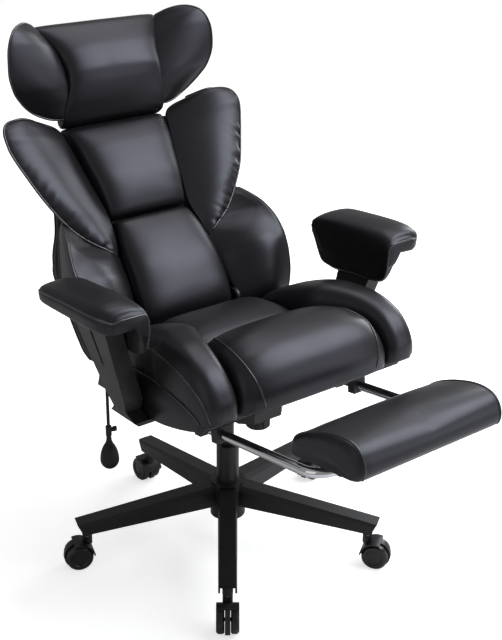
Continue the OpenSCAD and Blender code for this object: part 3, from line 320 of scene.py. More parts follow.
@dataclass(frozen=True)
class Fold:
    """One long soft crease across a cushion, between two places given as shares of the grid."""

    start: tuple[float, float]
    end: tuple[float, float]
    depth: float = 2.0
    width: float = 9.0

    def height(self, rows: np.ndarray, columns: np.ndarray, size: tuple[float, float]) -> np.ndarray:
        """Height of the crease.

        Args:
            rows: Share along the rows at each point.
            columns: Share along the columns at each point.
            size: Real length of the rows' and the columns' directions, in metres.

        Returns:
            Height in metres.
        """
        scale = np.array(size)
        p = np.stack([rows, columns], axis=-1) * scale
        a, b = np.array(self.start) * scale, np.array(self.end) * scale
        way = (b - a) / np.linalg.norm(b - a)
        t = (p - a) @ way / np.linalg.norm(b - a)
        off = (p - a) @ np.array([-way[1], way[0]]) / (self.width * MM)
        fade = np.clip(np.sin(np.clip(t, 0, 1) * math.pi), 0, 1) ** 0.8
        return self.depth * MM * fade * (-np.exp(-(off**2)) + 0.5 * np.exp(-((off - 2.0) ** 2)))


Gathers = Sequence[tuple[Edge, Puckers]]


@dataclass
class Skin:
    """The skin of one padded piece: a front that shows and a base that it is sewn to, with equal rows."""

    front: np.ndarray
    base: np.ndarray

    @classmethod
    def sewn(cls, front: Sequence[np.ndarray], base: Sequence[np.ndarray], step: float, spread: bool = False
             ) -> "Skin":
        """Joins sections to a skin whose grid is even and whose base ends at the front's edges.

        Args:
            front: Sections of the front, in metres.
            base: Section of the base for each section of the front.
            step: Distance wanted between neighbours, in millimetres.
            spread: Whether the sections are unevenly spaced, so that the base's are spaced anew too.

        Returns:
            The skin.
        """
        grid, rows = np.array(front), np.array(base)
        if spread:
            places = row_places(grid)
            rows = blend_rows(rows, places, np.linspace(0, places[-1], SECTIONS))
        width = np.linalg.norm(np.diff(grid, axis=1), axis=2).sum(axis=1).max()
        columns = max(8, int(width / (step * MM)))
        even = even_rows(np.stack([resample(row, columns) for row in grid]), step * MM)
        rows = blend_rows(rows, np.linspace(0, 1, len(rows)), np.linspace(0, 1, len(even)))
        share = np.linspace(0, 1, rows.shape[1])[None, :, None]
        ends = even[:, :1] * (1 - share) + even[:, -1:] * share
        return cls(even, ends + (rows - (rows[:, :1] * (1 - share) + rows[:, -1:] * share)))

    def on(self, side: Side) -> "Skin":
        """The same skin on a side of the chair, from the left side."""
        return Skin(self.front * side.flip, self.base * side.flip)

    def column(self, share: float) -> np.ndarray:
        """The line along the rows at a share of the section."""
        return self.front[:, int(round(share * (self.front.shape[1] - 1)))]

    def reach(self) -> tuple[np.ndarray, np.ndarray]:
        """Measures the front.

        Returns:
            Distance of each front point along its column and along its row, in metres.
        """
        rows = np.linalg.norm(np.diff(self.front, axis=0), axis=2)
        columns = np.linalg.norm(np.diff(self.front, axis=1), axis=2)
        along = np.concatenate([np.zeros((1, self.front.shape[1])), np.cumsum(rows, axis=0)])
        across = np.concatenate([np.zeros((self.front.shape[0], 1)), np.cumsum(columns, axis=1)], axis=1)
        return along, across

    def shares(self) -> tuple[np.ndarray, np.ndarray]:
        """Place of each front point as a share along the rows and along the columns."""
        n, m = self.front.shape[:2]
        return np.meshgrid(np.linspace(0, 1, n), np.linspace(0, 1, m), indexing="ij")

    def normals(self) -> np.ndarray:
        """Finds which way the front faces.

        Returns:
            Normals of the front, pointing away from the base.
        """
        du, dv = np.gradient(self.front, axis=0), np.gradient(self.front, axis=1)
        normal = np.cross(du, dv)
        normal /= np.linalg.norm(normal, axis=2)[..., None] + TINY
        middle = self.front.shape[0] // 2, self.front.shape[1] // 2
        outward = self.front[middle] - self.base[middle[0]].mean(axis=0)
        return normal if normal[middle] @ outward > 0 else -normal

    def raise_by(self, height: np.ndarray, hem: float = 3.0) -> None:
        """Moves the front along its normals, fading out at its sewn edges.

        Args:
            height: Height in metres at each front point.
            hem: Width in millimetres over which the height fades out at the edges.
        """
        along, across = self.reach()
        edge = np.minimum(np.minimum(along, along[-1] - along), np.minimum(across, across[:, -1:] - across))
        fade = np.clip(edge / (hem * MM), 0, 1)
        self.front = self.front + self.normals() * (height * fade)[..., None]

    def crumple(self, amount: float, seed: int, puckers: Gathers = (), folds: Sequence[Fold] = ()) -> None:
        """Gives the front the unevenness, the puckers and the folds of sewn leather.

        Args:
            amount: Height of the slight waviness, in millimetres.
            seed: Seed of all that is uneven.
            puckers: Edges with their puckers.
            folds: Long creases.
        """
        along, across = self.reach()
        rows, columns = self.shares()
        lines = {Edge.START: (across, along), Edge.END: (across, along[-1] - along),
                 Edge.FIRST: (along, across), Edge.LAST: (along, across[:, -1:] - across)}
        height = amount * MM * (cloud(self.front, 0.2, seed) + 0.2 * cloud(self.front, 0.07, seed + 1))
        for k, (edge, pucker) in enumerate(puckers):
            height = height + pucker.height(*lines[edge], seed + 10 + k)
        for fold in folds:
            height = height + fold.height(rows, columns, (float(along[-1].mean()), float(across[:, -1].mean())))
        self.raise_by(height)

    def closed(self, start: float, end: float, rings: int = 6) -> "Skin":
        """Rounds the open ends of the skin: the front and the base come together over a few rings.

        Args:
            start: Length of the rounding before the first row, in millimetres, or zero for none.
            end: Length of the rounding after the last row.
            rings: Rings in each rounding.

        Returns:
            The longer skin.
        """
        front, base = self.front, self.base
        for length, way in ((start, -1), (end, 1)):
            if not length:
                continue
            front, base = front[::way], base[::way]
            near = front[-1]
            out = (near - front[-4]).mean(axis=0)
            out /= np.linalg.norm(out)
            under = resample(base[-1], len(near))
            middle = (near + under) / 2
            for a in (k / rings * math.pi / 2 for k in range(1, rings + 1)):
                lift, keep = math.sin(a) * length * MM, max(math.cos(a), 0.06)
                low = resample(middle + (under - middle) * keep + out * lift, base.shape[1])
                front = np.concatenate([front, [middle + (near - middle) * keep + out * lift]])
                base = np.concatenate([base, [low]])
            front, base = front[::way], base[::way]
        return Skin(front, base)

    def object(self, name: str, material: bpy.types.Material) -> bpy.types.Object:
        """Makes the closed mesh of the skin.

        Args:
            name: Name of the piece.
            material: Its finish.

        Returns:
            The new object, with the vertices that stay where they are sewn in the group sewn.
        """
        ring = np.concatenate([self.front, self.base[:, ::-1][:, 1:-1]], axis=1)
        n, m = ring.shape[:2]
        free = {i * m + k for i in range(2, n - 2) for k in range(2, self.front.shape[1] - 2)}
        faces = grid_faces(n, m)
        points = [tuple(p) for p in ring.reshape(-1, 3)]
        for i, loop in ((0, range(m)[::-1]), (n - 1, range(m))):
            points.append(tuple(ring[i].mean(axis=0)))
            faces += [(i * m + loop[k], i * m + loop[(k + 1) % m], len(points) - 1) for k in range(m)]
        piece = make_mesh(name, points, faces, material)
        piece.vertex_groups.new(name="sewn").add([k for k in range(len(points)) if k not in free], 1.0, "REPLACE")
        return piece


def grid_faces(rings: int, sides: int, first: int = 0) -> Faces:
    """Faces between closed rings of points.

    Args:
        rings: Number of rings.
        sides: Points of each ring.
        first: Number of the first point.

    Returns:
        Vertex numbers of each face.
    """
    starts = [first + i * sides for i in range(rings)]
    return [(low + k, low + (k + 1) % sides, high + (k + 1) % sides, high + k)
            for low, high in zip(starts, starts[1:]) for k in range(sides)]


def ring_faces(rings: int, sides: int, first: int = 0, way: int = 1) -> Faces:
    """Faces between closed rings of points, with a face over each end.

    Args:
        rings: Number of rings.
        sides: Points of each ring.
        first: Number of the first point.
        way: 1, or -1 to run round the first end backwards.

    Returns:
        Vertex numbers of each face.
    """
    last = first + (rings - 1) * sides
    ends = [tuple(range(first, first + sides)[::way]), tuple(range(last, last + sides))]
    return grid_faces(rings, sides, first) + ends


def ring_points(centre: np.ndarray, radius: float, axes: tuple[np.ndarray, np.ndarray], sides: int
                ) -> list[np.ndarray]:
    """Points of a circle.

    Args:
        centre: Its centre.
        radius: Its radius.
        axes: Two directions in its plane.
        sides: Number of points.

    Returns:
        The points.
    """
    turns = [2 * math.pi * k / sides for k in range(sides)]
    return [centre + radius * (math.cos(a) * axes[0] + math.sin(a) * axes[1]) for a in turns]


def make_mesh(name: str, points: Sequence[Sequence[float]], faces: Sequence[Sequence[int]],
              material: bpy.types.Material) -> bpy.types.Object:
    """Makes a smooth closed mesh object with its normals outward.

    Args:
        name: Name of the piece.
        points: Vertices in metres.
        faces: Vertex numbers of each face.
        material: Finish.

    Returns:
        The new object.
    """
    mesh = bpy.data.meshes.new(name)
    mesh.from_pydata([tuple(map(float, p)) for p in points], [], [tuple(f) for f in faces])
    work = bmesh.new()
    work.from_mesh(mesh)
    bmesh.ops.recalc_face_normals(work, faces=work.faces)
    for face in work.faces:
        face.smooth = True
    work.to_mesh(mesh)
    work.free()
    mesh.materials.append(material)
    thing = bpy.data.objects.new(name, mesh)
    bpy.context.scene.collection.objects.link(thing)
    return thing


def tube(name: str, path: np.ndarray, radius: float, material: bpy.types.Material) -> bpy.types.Object:
    """Sweeps a round section along a path, with rounded ends.

    Args:
        name: Name of the piece.
        path: Points in metres.
        radius: Radius in metres.
        material: Finish.

    Returns:
        The new object.
    """
    way = np.gradient(path, axis=0)
    way /= np.linalg.norm(way, axis=1)[:, None] + TINY
    side = np.cross(way[0], [0.0, 0.0, 1.0])
    if np.linalg.norm(side) < 0.1:
        side = np.cross(way[0], [1.0, 0.0, 0.0])
    points = []
    for k, centre in enumerate(path):
        side = side - way[k] * (side @ way[k])
        side /= np.linalg.norm(side)
        thick = radius * TUBE_END if k in (0, len(path) - 1) else radius
        points += ring_points(centre, thick, (side, np.cross(way[k], side)), TUBE_SIDES)
    return make_mesh(name, points, ring_faces(len(path), TUBE_SIDES), material)


def lay_on(path: np.ndarray, piece: bpy.types.Object) -> np.ndarray:
    """Moves each point of a path to the nearest place on a piece.

    Args:
        path: Points in metres.
        piece: Mesh object.

    Returns:
        The moved path.
    """
    mesh = piece.data
    tree = BVHTree.FromPolygons([v.co for v in mesh.vertices], [tuple(f.vertices) for f in mesh.polygons])
    return np.array([tree.find_nearest(Vector(map(float, point)))[0] for point in path])


# Finishes


def feed(tree: bpy.types.NodeTree, node: bpy.types.Node, inputs: dict) -> None:
    """Sets or links inputs of a node.

    Args:
        tree: Tree that the node is in.
        node: The node.
        inputs: For each input, by its name or number, its value or the socket that is linked to it.
    """
    for label, value in inputs.items():
        if isinstance(value, bpy.types.NodeSocket):
            tree.links.new(value, node.inputs[label])
        else:
            node.inputs[label].default_value = value


def add_node(tree: bpy.types.NodeTree, kind: str, inputs: dict | None = None, **settings: object) -> bpy.types.Node:
    """Adds a shader node.

    Args:
        tree: Tree that gets the node.
        kind: Kind of the node, without its prefix.
        inputs: Its inputs, as feed takes them.
        **settings: What is set on the node before its inputs.

    Returns:
        The node.
    """
    node = tree.nodes.new("ShaderNode" + kind)
    for name, value in settings.items():
        setattr(node, name, value)
    feed(tree, node, inputs or {})
    return node


def math_node(tree: bpy.types.NodeTree, kind: str, a: object, b: object = 0.0) -> bpy.types.NodeSocket:
    """The outcome of an operation on two values or sockets."""
    return add_node(tree, "Math", {0: a, 1: b}, operation=kind).outputs[0]


def noise(tree: bpy.types.NodeTree, scale: object, detail: float = 3.0, rough: float = 0.55
          ) -> bpy.types.NodeSocket:
    """Adds noise in object space.

    Args:
        tree: Tree that gets the nodes.
        scale: Scale as a value or a socket.
        detail: Octaves.
        rough: Roughness of the octaves.

    Returns:
        The noise value.
    """
    where = add_node(tree, "TexCoord").outputs["Object"]
    return add_node(tree, "TexNoise", {"Detail": detail, "Roughness": rough, "Vector": where, "Scale": scale}
                    ).outputs["Fac"]


def new_group(name: str, inputs: dict[str, float], outputs: Sequence[str]
              ) -> tuple[bpy.types.NodeTree, bpy.types.bpy_prop_collection, bpy.types.Node]:
    """Starts a shader node group of plain numbers.

    Args:
        name: Name of the group.
        inputs: Value of each input.
        outputs: Name of each output.

    Returns:
        The group, what comes in, and its output node.
    """
    tree = bpy.data.node_groups.new(name, "ShaderNodeTree")
    for label, value in inputs.items():
        socket = tree.interface.new_socket(name=label, in_out="INPUT", socket_type="NodeSocketFloat")
        socket.default_value = value
    for label in outputs:
        tree.interface.new_socket(name=label, in_out="OUTPUT", socket_type="NodeSocketFloat")
    return tree, tree.nodes.new("NodeGroupInput").outputs, tree.nodes.new("NodeGroupOutput")


class Effects:
    """Effects that several finishes share, each a node group that is built once."""

    def __init__(self) -> None:
        """Builds the groups."""
        self.grain = self.build_grain()
        self.wear = self.build_wear()
        self.smudge = self.build_smudge()

    @staticmethod
    def build_grain() -> bpy.types.NodeTree:
        """Builds pebbled grain with fine creases.

        Returns:
            A group that puts out a height and a tone.
        """
        tree, given, end = new_group(
            "pebbled grain", {"Pebble Scale": 650.0, "Crease Scale": 90.0, "Crease": 0.5}, ("Height", "Tone"))
        where = add_node(tree, "TexCoord").outputs["Object"]
        cells = add_node(tree, "TexVoronoi", {"Vector": where, "Scale": given["Pebble Scale"]}, feature="SMOOTH_F1")
        crease = noise(tree, given["Crease Scale"], 5.0, 0.62)
        ridge = math_node(tree, "ABSOLUTE", math_node(tree, "SUBTRACT", crease, 0.5))
        ridge = math_node(tree, "MULTIPLY", ridge, given["Crease"])
        pebble = math_node(tree, "MULTIPLY", cells.outputs["Distance"], -0.35)
        height = math_node(tree, "ADD", pebble, math_node(tree, "MULTIPLY", ridge, 2.0))
        feed(tree, end, {"Height": height, "Tone": noise(tree, 9.0, 2.0, 0.5)})
        return tree

    @staticmethod
    def build_wear() -> bpy.types.NodeTree:
        """Builds rubbed edges.

        Returns:
            A group that puts out a mask, which is 1 on worn edges.
        """
        tree, given, end = new_group("rubbed edges", {"Sharpness": 14.0, "Breakup": 60.0}, ("Mask",))
        edges = math_node(tree, "SUBTRACT", add_node(tree, "NewGeometry").outputs["Pointiness"], 0.53)
        sharp = math_node(tree, "MULTIPLY", edges, given["Sharpness"])
        broken = math_node(tree, "MULTIPLY", sharp, noise(tree, given["Breakup"], 4.0, 0.6))
        feed(tree, end, {"Mask": add_node(tree, "Clamp", {"Value": broken}).outputs[0]})
        return tree

    @staticmethod
    def build_smudge() -> bpy.types.NodeTree:
        """Builds handling marks.

        Returns:
            A group that puts out a roughness round a given value.
        """
        tree, given, end = new_group(
            "handling marks", {"Roughness": 0.4, "Spread": 0.1, "Scale": 14.0}, ("Roughness",))
        wide = math_node(tree, "SUBTRACT", noise(tree, given["Scale"], 4.0, 0.6), 0.5)
        shift = math_node(tree, "MULTIPLY", wide, given["Spread"])
        value = math_node(tree, "ADD", given["Roughness"], math_node(tree, "MULTIPLY", shift, 2.0))
        feed(tree, end, {"Roughness": value})
        return tree


@dataclass(frozen=True)
class Finish:
    """A coated or moulded finish with grain, handling marks and rubbed edges."""

    name: str
    dark: Colour
    light: Colour
    roughness: float = 0.45
    spread: float = 0.08
    metallic: float = 0.0
    specular: float = 0.5
    tint: Colour = (1.0, 1.0, 1.0)
    pebble_scale: float = 650.0
    crease_scale: float = 90.0
    crease: float = 0.5
    bump: float = 0.25
    bump_depth: float = 0.0003
    worn: Colour | None = None

    def material(self, effects: Effects) -> bpy.types.Material:
        """Builds the material.

        Args:
            effects: Groups of the shared effects.

        Returns:
            The new material.
        """
        material = bpy.data.materials.new(self.name)
        material.use_nodes = True
        material.diffuse_color = (*self.light, 1.0)
        tree = material.node_tree
        grain = add_node(tree, "Group", {"Pebble Scale": self.pebble_scale, "Crease Scale": self.crease_scale,
                                         "Crease": self.crease}, node_tree=effects.grain).outputs
        tones = {"A": (*self.dark, 1.0), "B": (*self.light, 1.0), "Factor": grain["Tone"]}
        colour = add_node(tree, "Mix", tones, data_type="RGBA").outputs["Result"]
        if self.worn:
            mask = add_node(tree, "Group", node_tree=effects.wear).outputs["Mask"]
            rubbed = {"A": colour, "B": (*self.worn, 1.0), "Factor": mask}
            colour = add_node(tree, "Mix", rubbed, data_type="RGBA").outputs["Result"]
        marks = {"Roughness": self.roughness, "Spread": self.spread}
        roughness = add_node(tree, "Group", marks, node_tree=effects.smudge).outputs["Roughness"]
        bump = {"Strength": self.bump, "Distance": self.bump_depth, "Height": grain["Height"]}
        feed(tree, tree.nodes["Principled BSDF"], {
            "Base Color": colour, "Metallic": self.metallic, "Specular IOR Level": self.specular,
            "Specular Tint": (*self.tint, 1.0), "Roughness": roughness,
            "Normal": add_node(tree, "Bump", bump).outputs["Normal"]})
        return material


@dataclass
class Finishes:
    """All finishes of the chair."""

    effects: Effects = field(default_factory=Effects)
    made: dict[str, bpy.types.Material] = field(default_factory=dict)

    def get(self, name: str) -> bpy.types.Material:
        """Gives a finish, and builds it the first time.

        Args:
            name: Its name in FINISHES.

        Returns:
            Its material.
        """
        if name not in self.made:
            self.made[name] = FINISHES[name].material(self.effects)
        return self.made[name]


FINISHES = {
    "leather": Finish("black_leather", (0.0054, 0.0046, 0.0052), (0.0094, 0.0082, 0.0092), roughness=0.38, spread=0.05,
                      specular=0.46, tint=(0.86, 0.87, 1.0), pebble_scale=620.0, crease_scale=70.0, crease=0.5,
                      bump=0.18, worn=(0.022, 0.021, 0.023)),
    # Piping is the same black leather as the pads. Its base colour, about three times lighter than the leather's, is
    # painted sheen standing in for the glints of light along it.
    "piping": Finish("piping_leather", (0.016, 0.016, 0.018), (0.030, 0.030, 0.034), roughness=0.24, spread=0.04,
                     specular=0.7, pebble_scale=900.0, crease=0.3, bump=0.12),
    "thread": Finish("black_thread", (0.012, 0.012, 0.013), (0.03, 0.03, 0.033), roughness=0.6, pebble_scale=2400.0,
                     bump=0.3),
    "nylon": Finish("moulded_nylon", (0.0042, 0.0040, 0.0042), (0.0075, 0.0072, 0.0076), roughness=0.42, spread=0.07,
                    specular=0.38, pebble_scale=1500.0, crease_scale=300.0, crease=0.3, bump=0.16, bump_depth=0.0002,
                    worn=(0.018, 0.018, 0.019)),
    "wheel": Finish("smooth_nylon", (0.005, 0.005, 0.0055), (0.009, 0.009, 0.0095), roughness=0.3, spread=0.08,
                    specular=0.45, pebble_scale=1800.0, crease=0.2, bump=0.08, worn=(0.025, 0.025, 0.027)),
    "painted": Finish("powder_coat", (0.0045, 0.0044, 0.0046), (0.008, 0.0078, 0.0082), roughness=0.36, spread=0.05,
                      specular=0.4, pebble_scale=1100.0, crease_scale=260.0, crease=0.4, bump=0.2,
                      bump_depth=0.0002, worn=(0.016, 0.016, 0.016)),
    "matt": Finish("matt_coat", (0.0035, 0.0035, 0.0036), (0.006, 0.006, 0.0062), roughness=0.8, specular=0.12,
                   pebble_scale=1100.0, crease=0.2, bump=0.1),
    "steel": Finish("zinc_plate", (0.42, 0.43, 0.45), (0.58, 0.59, 0.61), roughness=0.32, metallic=1.0,
                    pebble_scale=400.0, crease_scale=200.0, crease=0.4, bump=0.08),
    "chrome": Finish("polished_chrome", (0.70, 0.71, 0.73), (0.80, 0.81, 0.83), roughness=0.09, spread=0.03,
                     metallic=1.0, pebble_scale=200.0, crease=0.2, bump=0.02),
    "lining": Finish("lining_cloth", (0.006, 0.006, 0.0065), (0.012, 0.012, 0.0125), roughness=0.85, specular=0.2,
                     pebble_scale=1400.0, crease_scale=420.0, crease=1.0, bump=0.5),
    "rubber": Finish("soft_rubber", (0.0055, 0.0055, 0.006), (0.009, 0.009, 0.0095), roughness=0.5, spread=0.1,
                     specular=0.35, pebble_scale=700.0, crease=0.3, bump=0.1, worn=(0.02, 0.02, 0.021)),
    "screw": Finish("turned_plastic", (0.012, 0.012, 0.013), (0.025, 0.025, 0.027), roughness=0.3, bump=0.05),
}
NODE_FINISH = {"lift_cylinder": "painted", "recline_ears": "matt", "recline_pins": "matt"}


# Sewing

STITCH = ((0, -0.3, 0.5), (0.2, 0.5, 1), (0.5, 0.8, 1.1), (0.8, 0.5, 1), (1, -0.3, 0.5))  # place, lift and thickness


@dataclass
class Workshop:
    """What every sub-assembly needs to make its pieces, with the settings of the cloth that fills them."""

    finishes: Finishes
    grid_step: float = 4.5
    piping_r: float = 2.2
    piping_step: float = 4
    piping_rounds: int = 3
    stitch: float = 5
    thread_r: float = 0.45
    quality: int = 4
    mass: float = 0.4
    stiffness: float = 30
    bending: float = 5
    pressure: float = 4
    frames: int = 20
    settle: int = 22
    ripple: float = 0.22

    def declare(self, piece: bpy.types.Object, body: str, slot: str = "leather", *nodes: str) -> bpy.types.Object:
        """Args:
            piece: The piece.
            body: Body that it rides on.
            slot: Its finish slot; not used.
            *nodes: Nodes that it stands for.

        Returns:
            The piece.
        """
        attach(piece, body)
        if nodes:
            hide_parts(*nodes)
        LOG.info("%s rides on %s", piece.name, body)
        return piece

    def arched(self, rows: np.ndarray, power: float, rest: float,
               place: Callable[[np.ndarray, np.ndarray, float], np.ndarray], spread: bool = False) -> Skin:
        """Makes the skin of an arched pad that rests on a surface.

        Args:
            rows: Rows of place, inner edge, outer edge and crown, in millimetres across and up.
            power: Boxiness of the section, as arch takes it.
            rest: Height of the pad's base over the surface.
            place: Turns places across, heights over the surface and a row's place into points in metres.
            spread: Whether the rows are unevenly spaced.

        Returns:
            The skin.
        """
        front, base = [], []
        for at, inner, outer, crown in rows:
            section = arch((outer - inner) / 2, crown, power)
            front.append(place(section[:, 0] + (inner + outer) / 2, section[:, 1] + rest, at))
            base.append(place(np.linspace(outer, inner, BASE_POINTS), np.full(BASE_POINTS, rest), at))
        return Skin.sewn(front, base, self.grid_step, spread)

    def pad(self, name: str, skin: Skin, body: str, *nodes: str, fill: float = 0.8, swell: float = 0.0
            ) -> bpy.types.Object:
        """Makes a padded piece from its skin, filled by simulation when it is given a swell.

        Args:
            name: Name of the piece.
            skin: Its skin.
            body: Body that it rides on.
            *nodes: Nodes that it stands for.
            fill: How full it is; not used.
            swell: Most that the filling may move its skin, in millimetres, or zero for no simulation.

        Returns:
            The new object.
        """
        piece = skin.object(name, self.finishes.get("leather"))
        if swell:
            self.inflate(piece, swell, len(skin.front))
        piece.vertex_groups.clear()
        self.declare(piece, body, "leather", *nodes)
        return piece

    def inflate(self, piece: bpy.types.Object, swell: float, rows: int) -> None:
        """Fills a piece: its skin is cloth under pressure, held where it is sewn.

        Args:
            piece: Closed mesh with the group sewn.
            swell: Most that a point may move, in millimetres.
            rows: Rows of the skin's grid.
        """
        cloth = piece.modifiers.new("filling", "CLOTH")
        cloth.settings.quality = self.quality
        cloth.settings.mass = self.mass
        cloth.settings.tension_stiffness = cloth.settings.compression_stiffness = self.stiffness
        cloth.settings.bending_stiffness = self.bending
        cloth.settings.use_pressure = True
        cloth.settings.uniform_pressure_force = self.pressure
        cloth.settings.vertex_group_mass = "sewn"
        cloth.settings.effector_weights.gravity = 0.0
        cloth.collision_settings.use_collision = False
        cloth.point_cache.frame_start, cloth.point_cache.frame_end = 1, self.frames
        for frame in range(1, self.frames + 1):
            bpy.context.scene.frame_set(frame)
        shape = piece.evaluated_get(bpy.context.evaluated_depsgraph_get()).to_mesh()
        count = len(piece.data.vertices)
        old, new = np.empty(count * 3), np.empty(count * 3)
        piece.data.vertices.foreach_get("co", old)
        shape.vertices.foreach_get("co", new)
        move = (new - old).reshape(-1, 3)
        move[:-2] = self.calmed(move[:-2].reshape(rows, -1, 3)).reshape(-1, 3)
        far = np.linalg.norm(move, axis=1)
        keep = np.minimum(1.0, swell * MM / np.maximum(far, 1e-9))
        piece.modifiers.remove(cloth)
        piece.data.vertices.foreach_set("co", (old.reshape(-1, 3) + move * keep[:, None]).ravel())
        piece.data.update()
        bpy.context.scene.frame_set(1)
        LOG.info("%s filled: its skin moved %.1f mm at most and %.1f mm on average", piece.name,
                 float((far * keep).max()) / MM, float((far * keep).mean()) / MM)

    def calmed(self, move: np.ndarray) -> np.ndarray:
        """Evens out a movement over a few centimetres, and keeps a share of its ripples.

        Args:
            move: Movement of each point, in closed rings.

        Returns:
            The calmer movement, still zero where it was.
        """
        free = (np.linalg.norm(move, axis=2) > 1e-7)[..., None]
        calm = move
        for _ in range(self.settle):
            calm = (np.roll(calm, 1, axis=1) + 2 * calm + np.roll(calm, -1, axis=1)) / 4
            before, after = np.concatenate([calm[:1], calm[:-1]]), np.concatenate([calm[1:], calm[-1:]])
            calm = free * (before + 2 * calm + after) / 4
        return calm + self.ripple * (move - calm)

    def piping(self, name: str, path: np.ndarray, body: str, radius: float | None = None,
               on: bpy.types.Object | None = None) -> bpy.types.Object:
        """Makes piping.

        Args:
            name: Name of the piece.
            path: Its line, in metres.
            body: Body that it rides on.
            radius: Its radius in millimetres, where that isn't the usual one.
            on: Piece on whose surface it lies.

        Returns:
            The new object.
        """
        even = resample(path, max(12, int(length_of(path) / (self.piping_step * MM))))
        if on is not None:
            even = lay_on(even, on)
        for _ in range(self.piping_rounds):
            middle = (even[:-2] + even[2:]) / 2
            even[1:-1] = even[1:-1] * 0.4 + middle * 0.6
        return self.declare(tube(name, even, (radius or self.piping_r) * MM, self.finishes.get("piping")), body)

    def stitches(self, name: str, path: np.ndarray, normals: np.ndarray, body: str) -> bpy.types.Object:
        """Makes a row of stitches, each a short thread that dips at its ends.

        Args:
            name: Name of the piece.
            path: Its line, in metres.
            normals: Normal of the leather at each point of the line.
            body: Body that it rides on.

        Returns:
            The new object.
        """
        count = max(4, int(length_of(path) / (self.stitch * MM)))
        line = resample(np.hstack([path, normals]), count * 2 + 1)
        points, faces = [], []
        thread = self.thread_r * MM
        for a, b in zip(line[:-2:2], line[2::2]):
            start, end = a[:3] + (b[:3] - a[:3]) * 0.1, b[:3] - (b[:3] - a[:3]) * 0.1
            up = a[3:] / (np.linalg.norm(a[3:]) + TINY)
            way = (end - start) / (np.linalg.norm(end - start) + TINY)
            faces += ring_faces(len(STITCH), THREAD_SIDES, len(points))
            for t, lift, thick in STITCH:
                centre = start + (end - start) * t + up * lift * thread
                points += ring_points(centre, thread * thick, (np.cross(way, up), up), THREAD_SIDES)
        return self.declare(make_mesh(name, points, faces, self.finishes.get("thread")), body)


# Sub-assemblies

BACK_LEAN = 38.0
PIVOT = (0.0, 150.0, 515.0)


def on_back(across: np.ndarray, depth: np.ndarray, height: np.ndarray) -> np.ndarray:
    """Points of the leaning back.

    Args:
        across: Place across the back, in millimetres.
        depth: Distance in front of the back's datum plane.
        height: Distance up the back from the hinge.

    Returns:
        Points in metres.
    """
    lean = math.radians(BACK_LEAN)
    y = PIVOT[1] + height * math.sin(lean) - depth * math.cos(lean)
    z = PIVOT[2] + height * math.cos(lean) + depth * math.sin(lean)
    return np.stack(np.broadcast_arrays(across, y, z), axis=-1) * MM


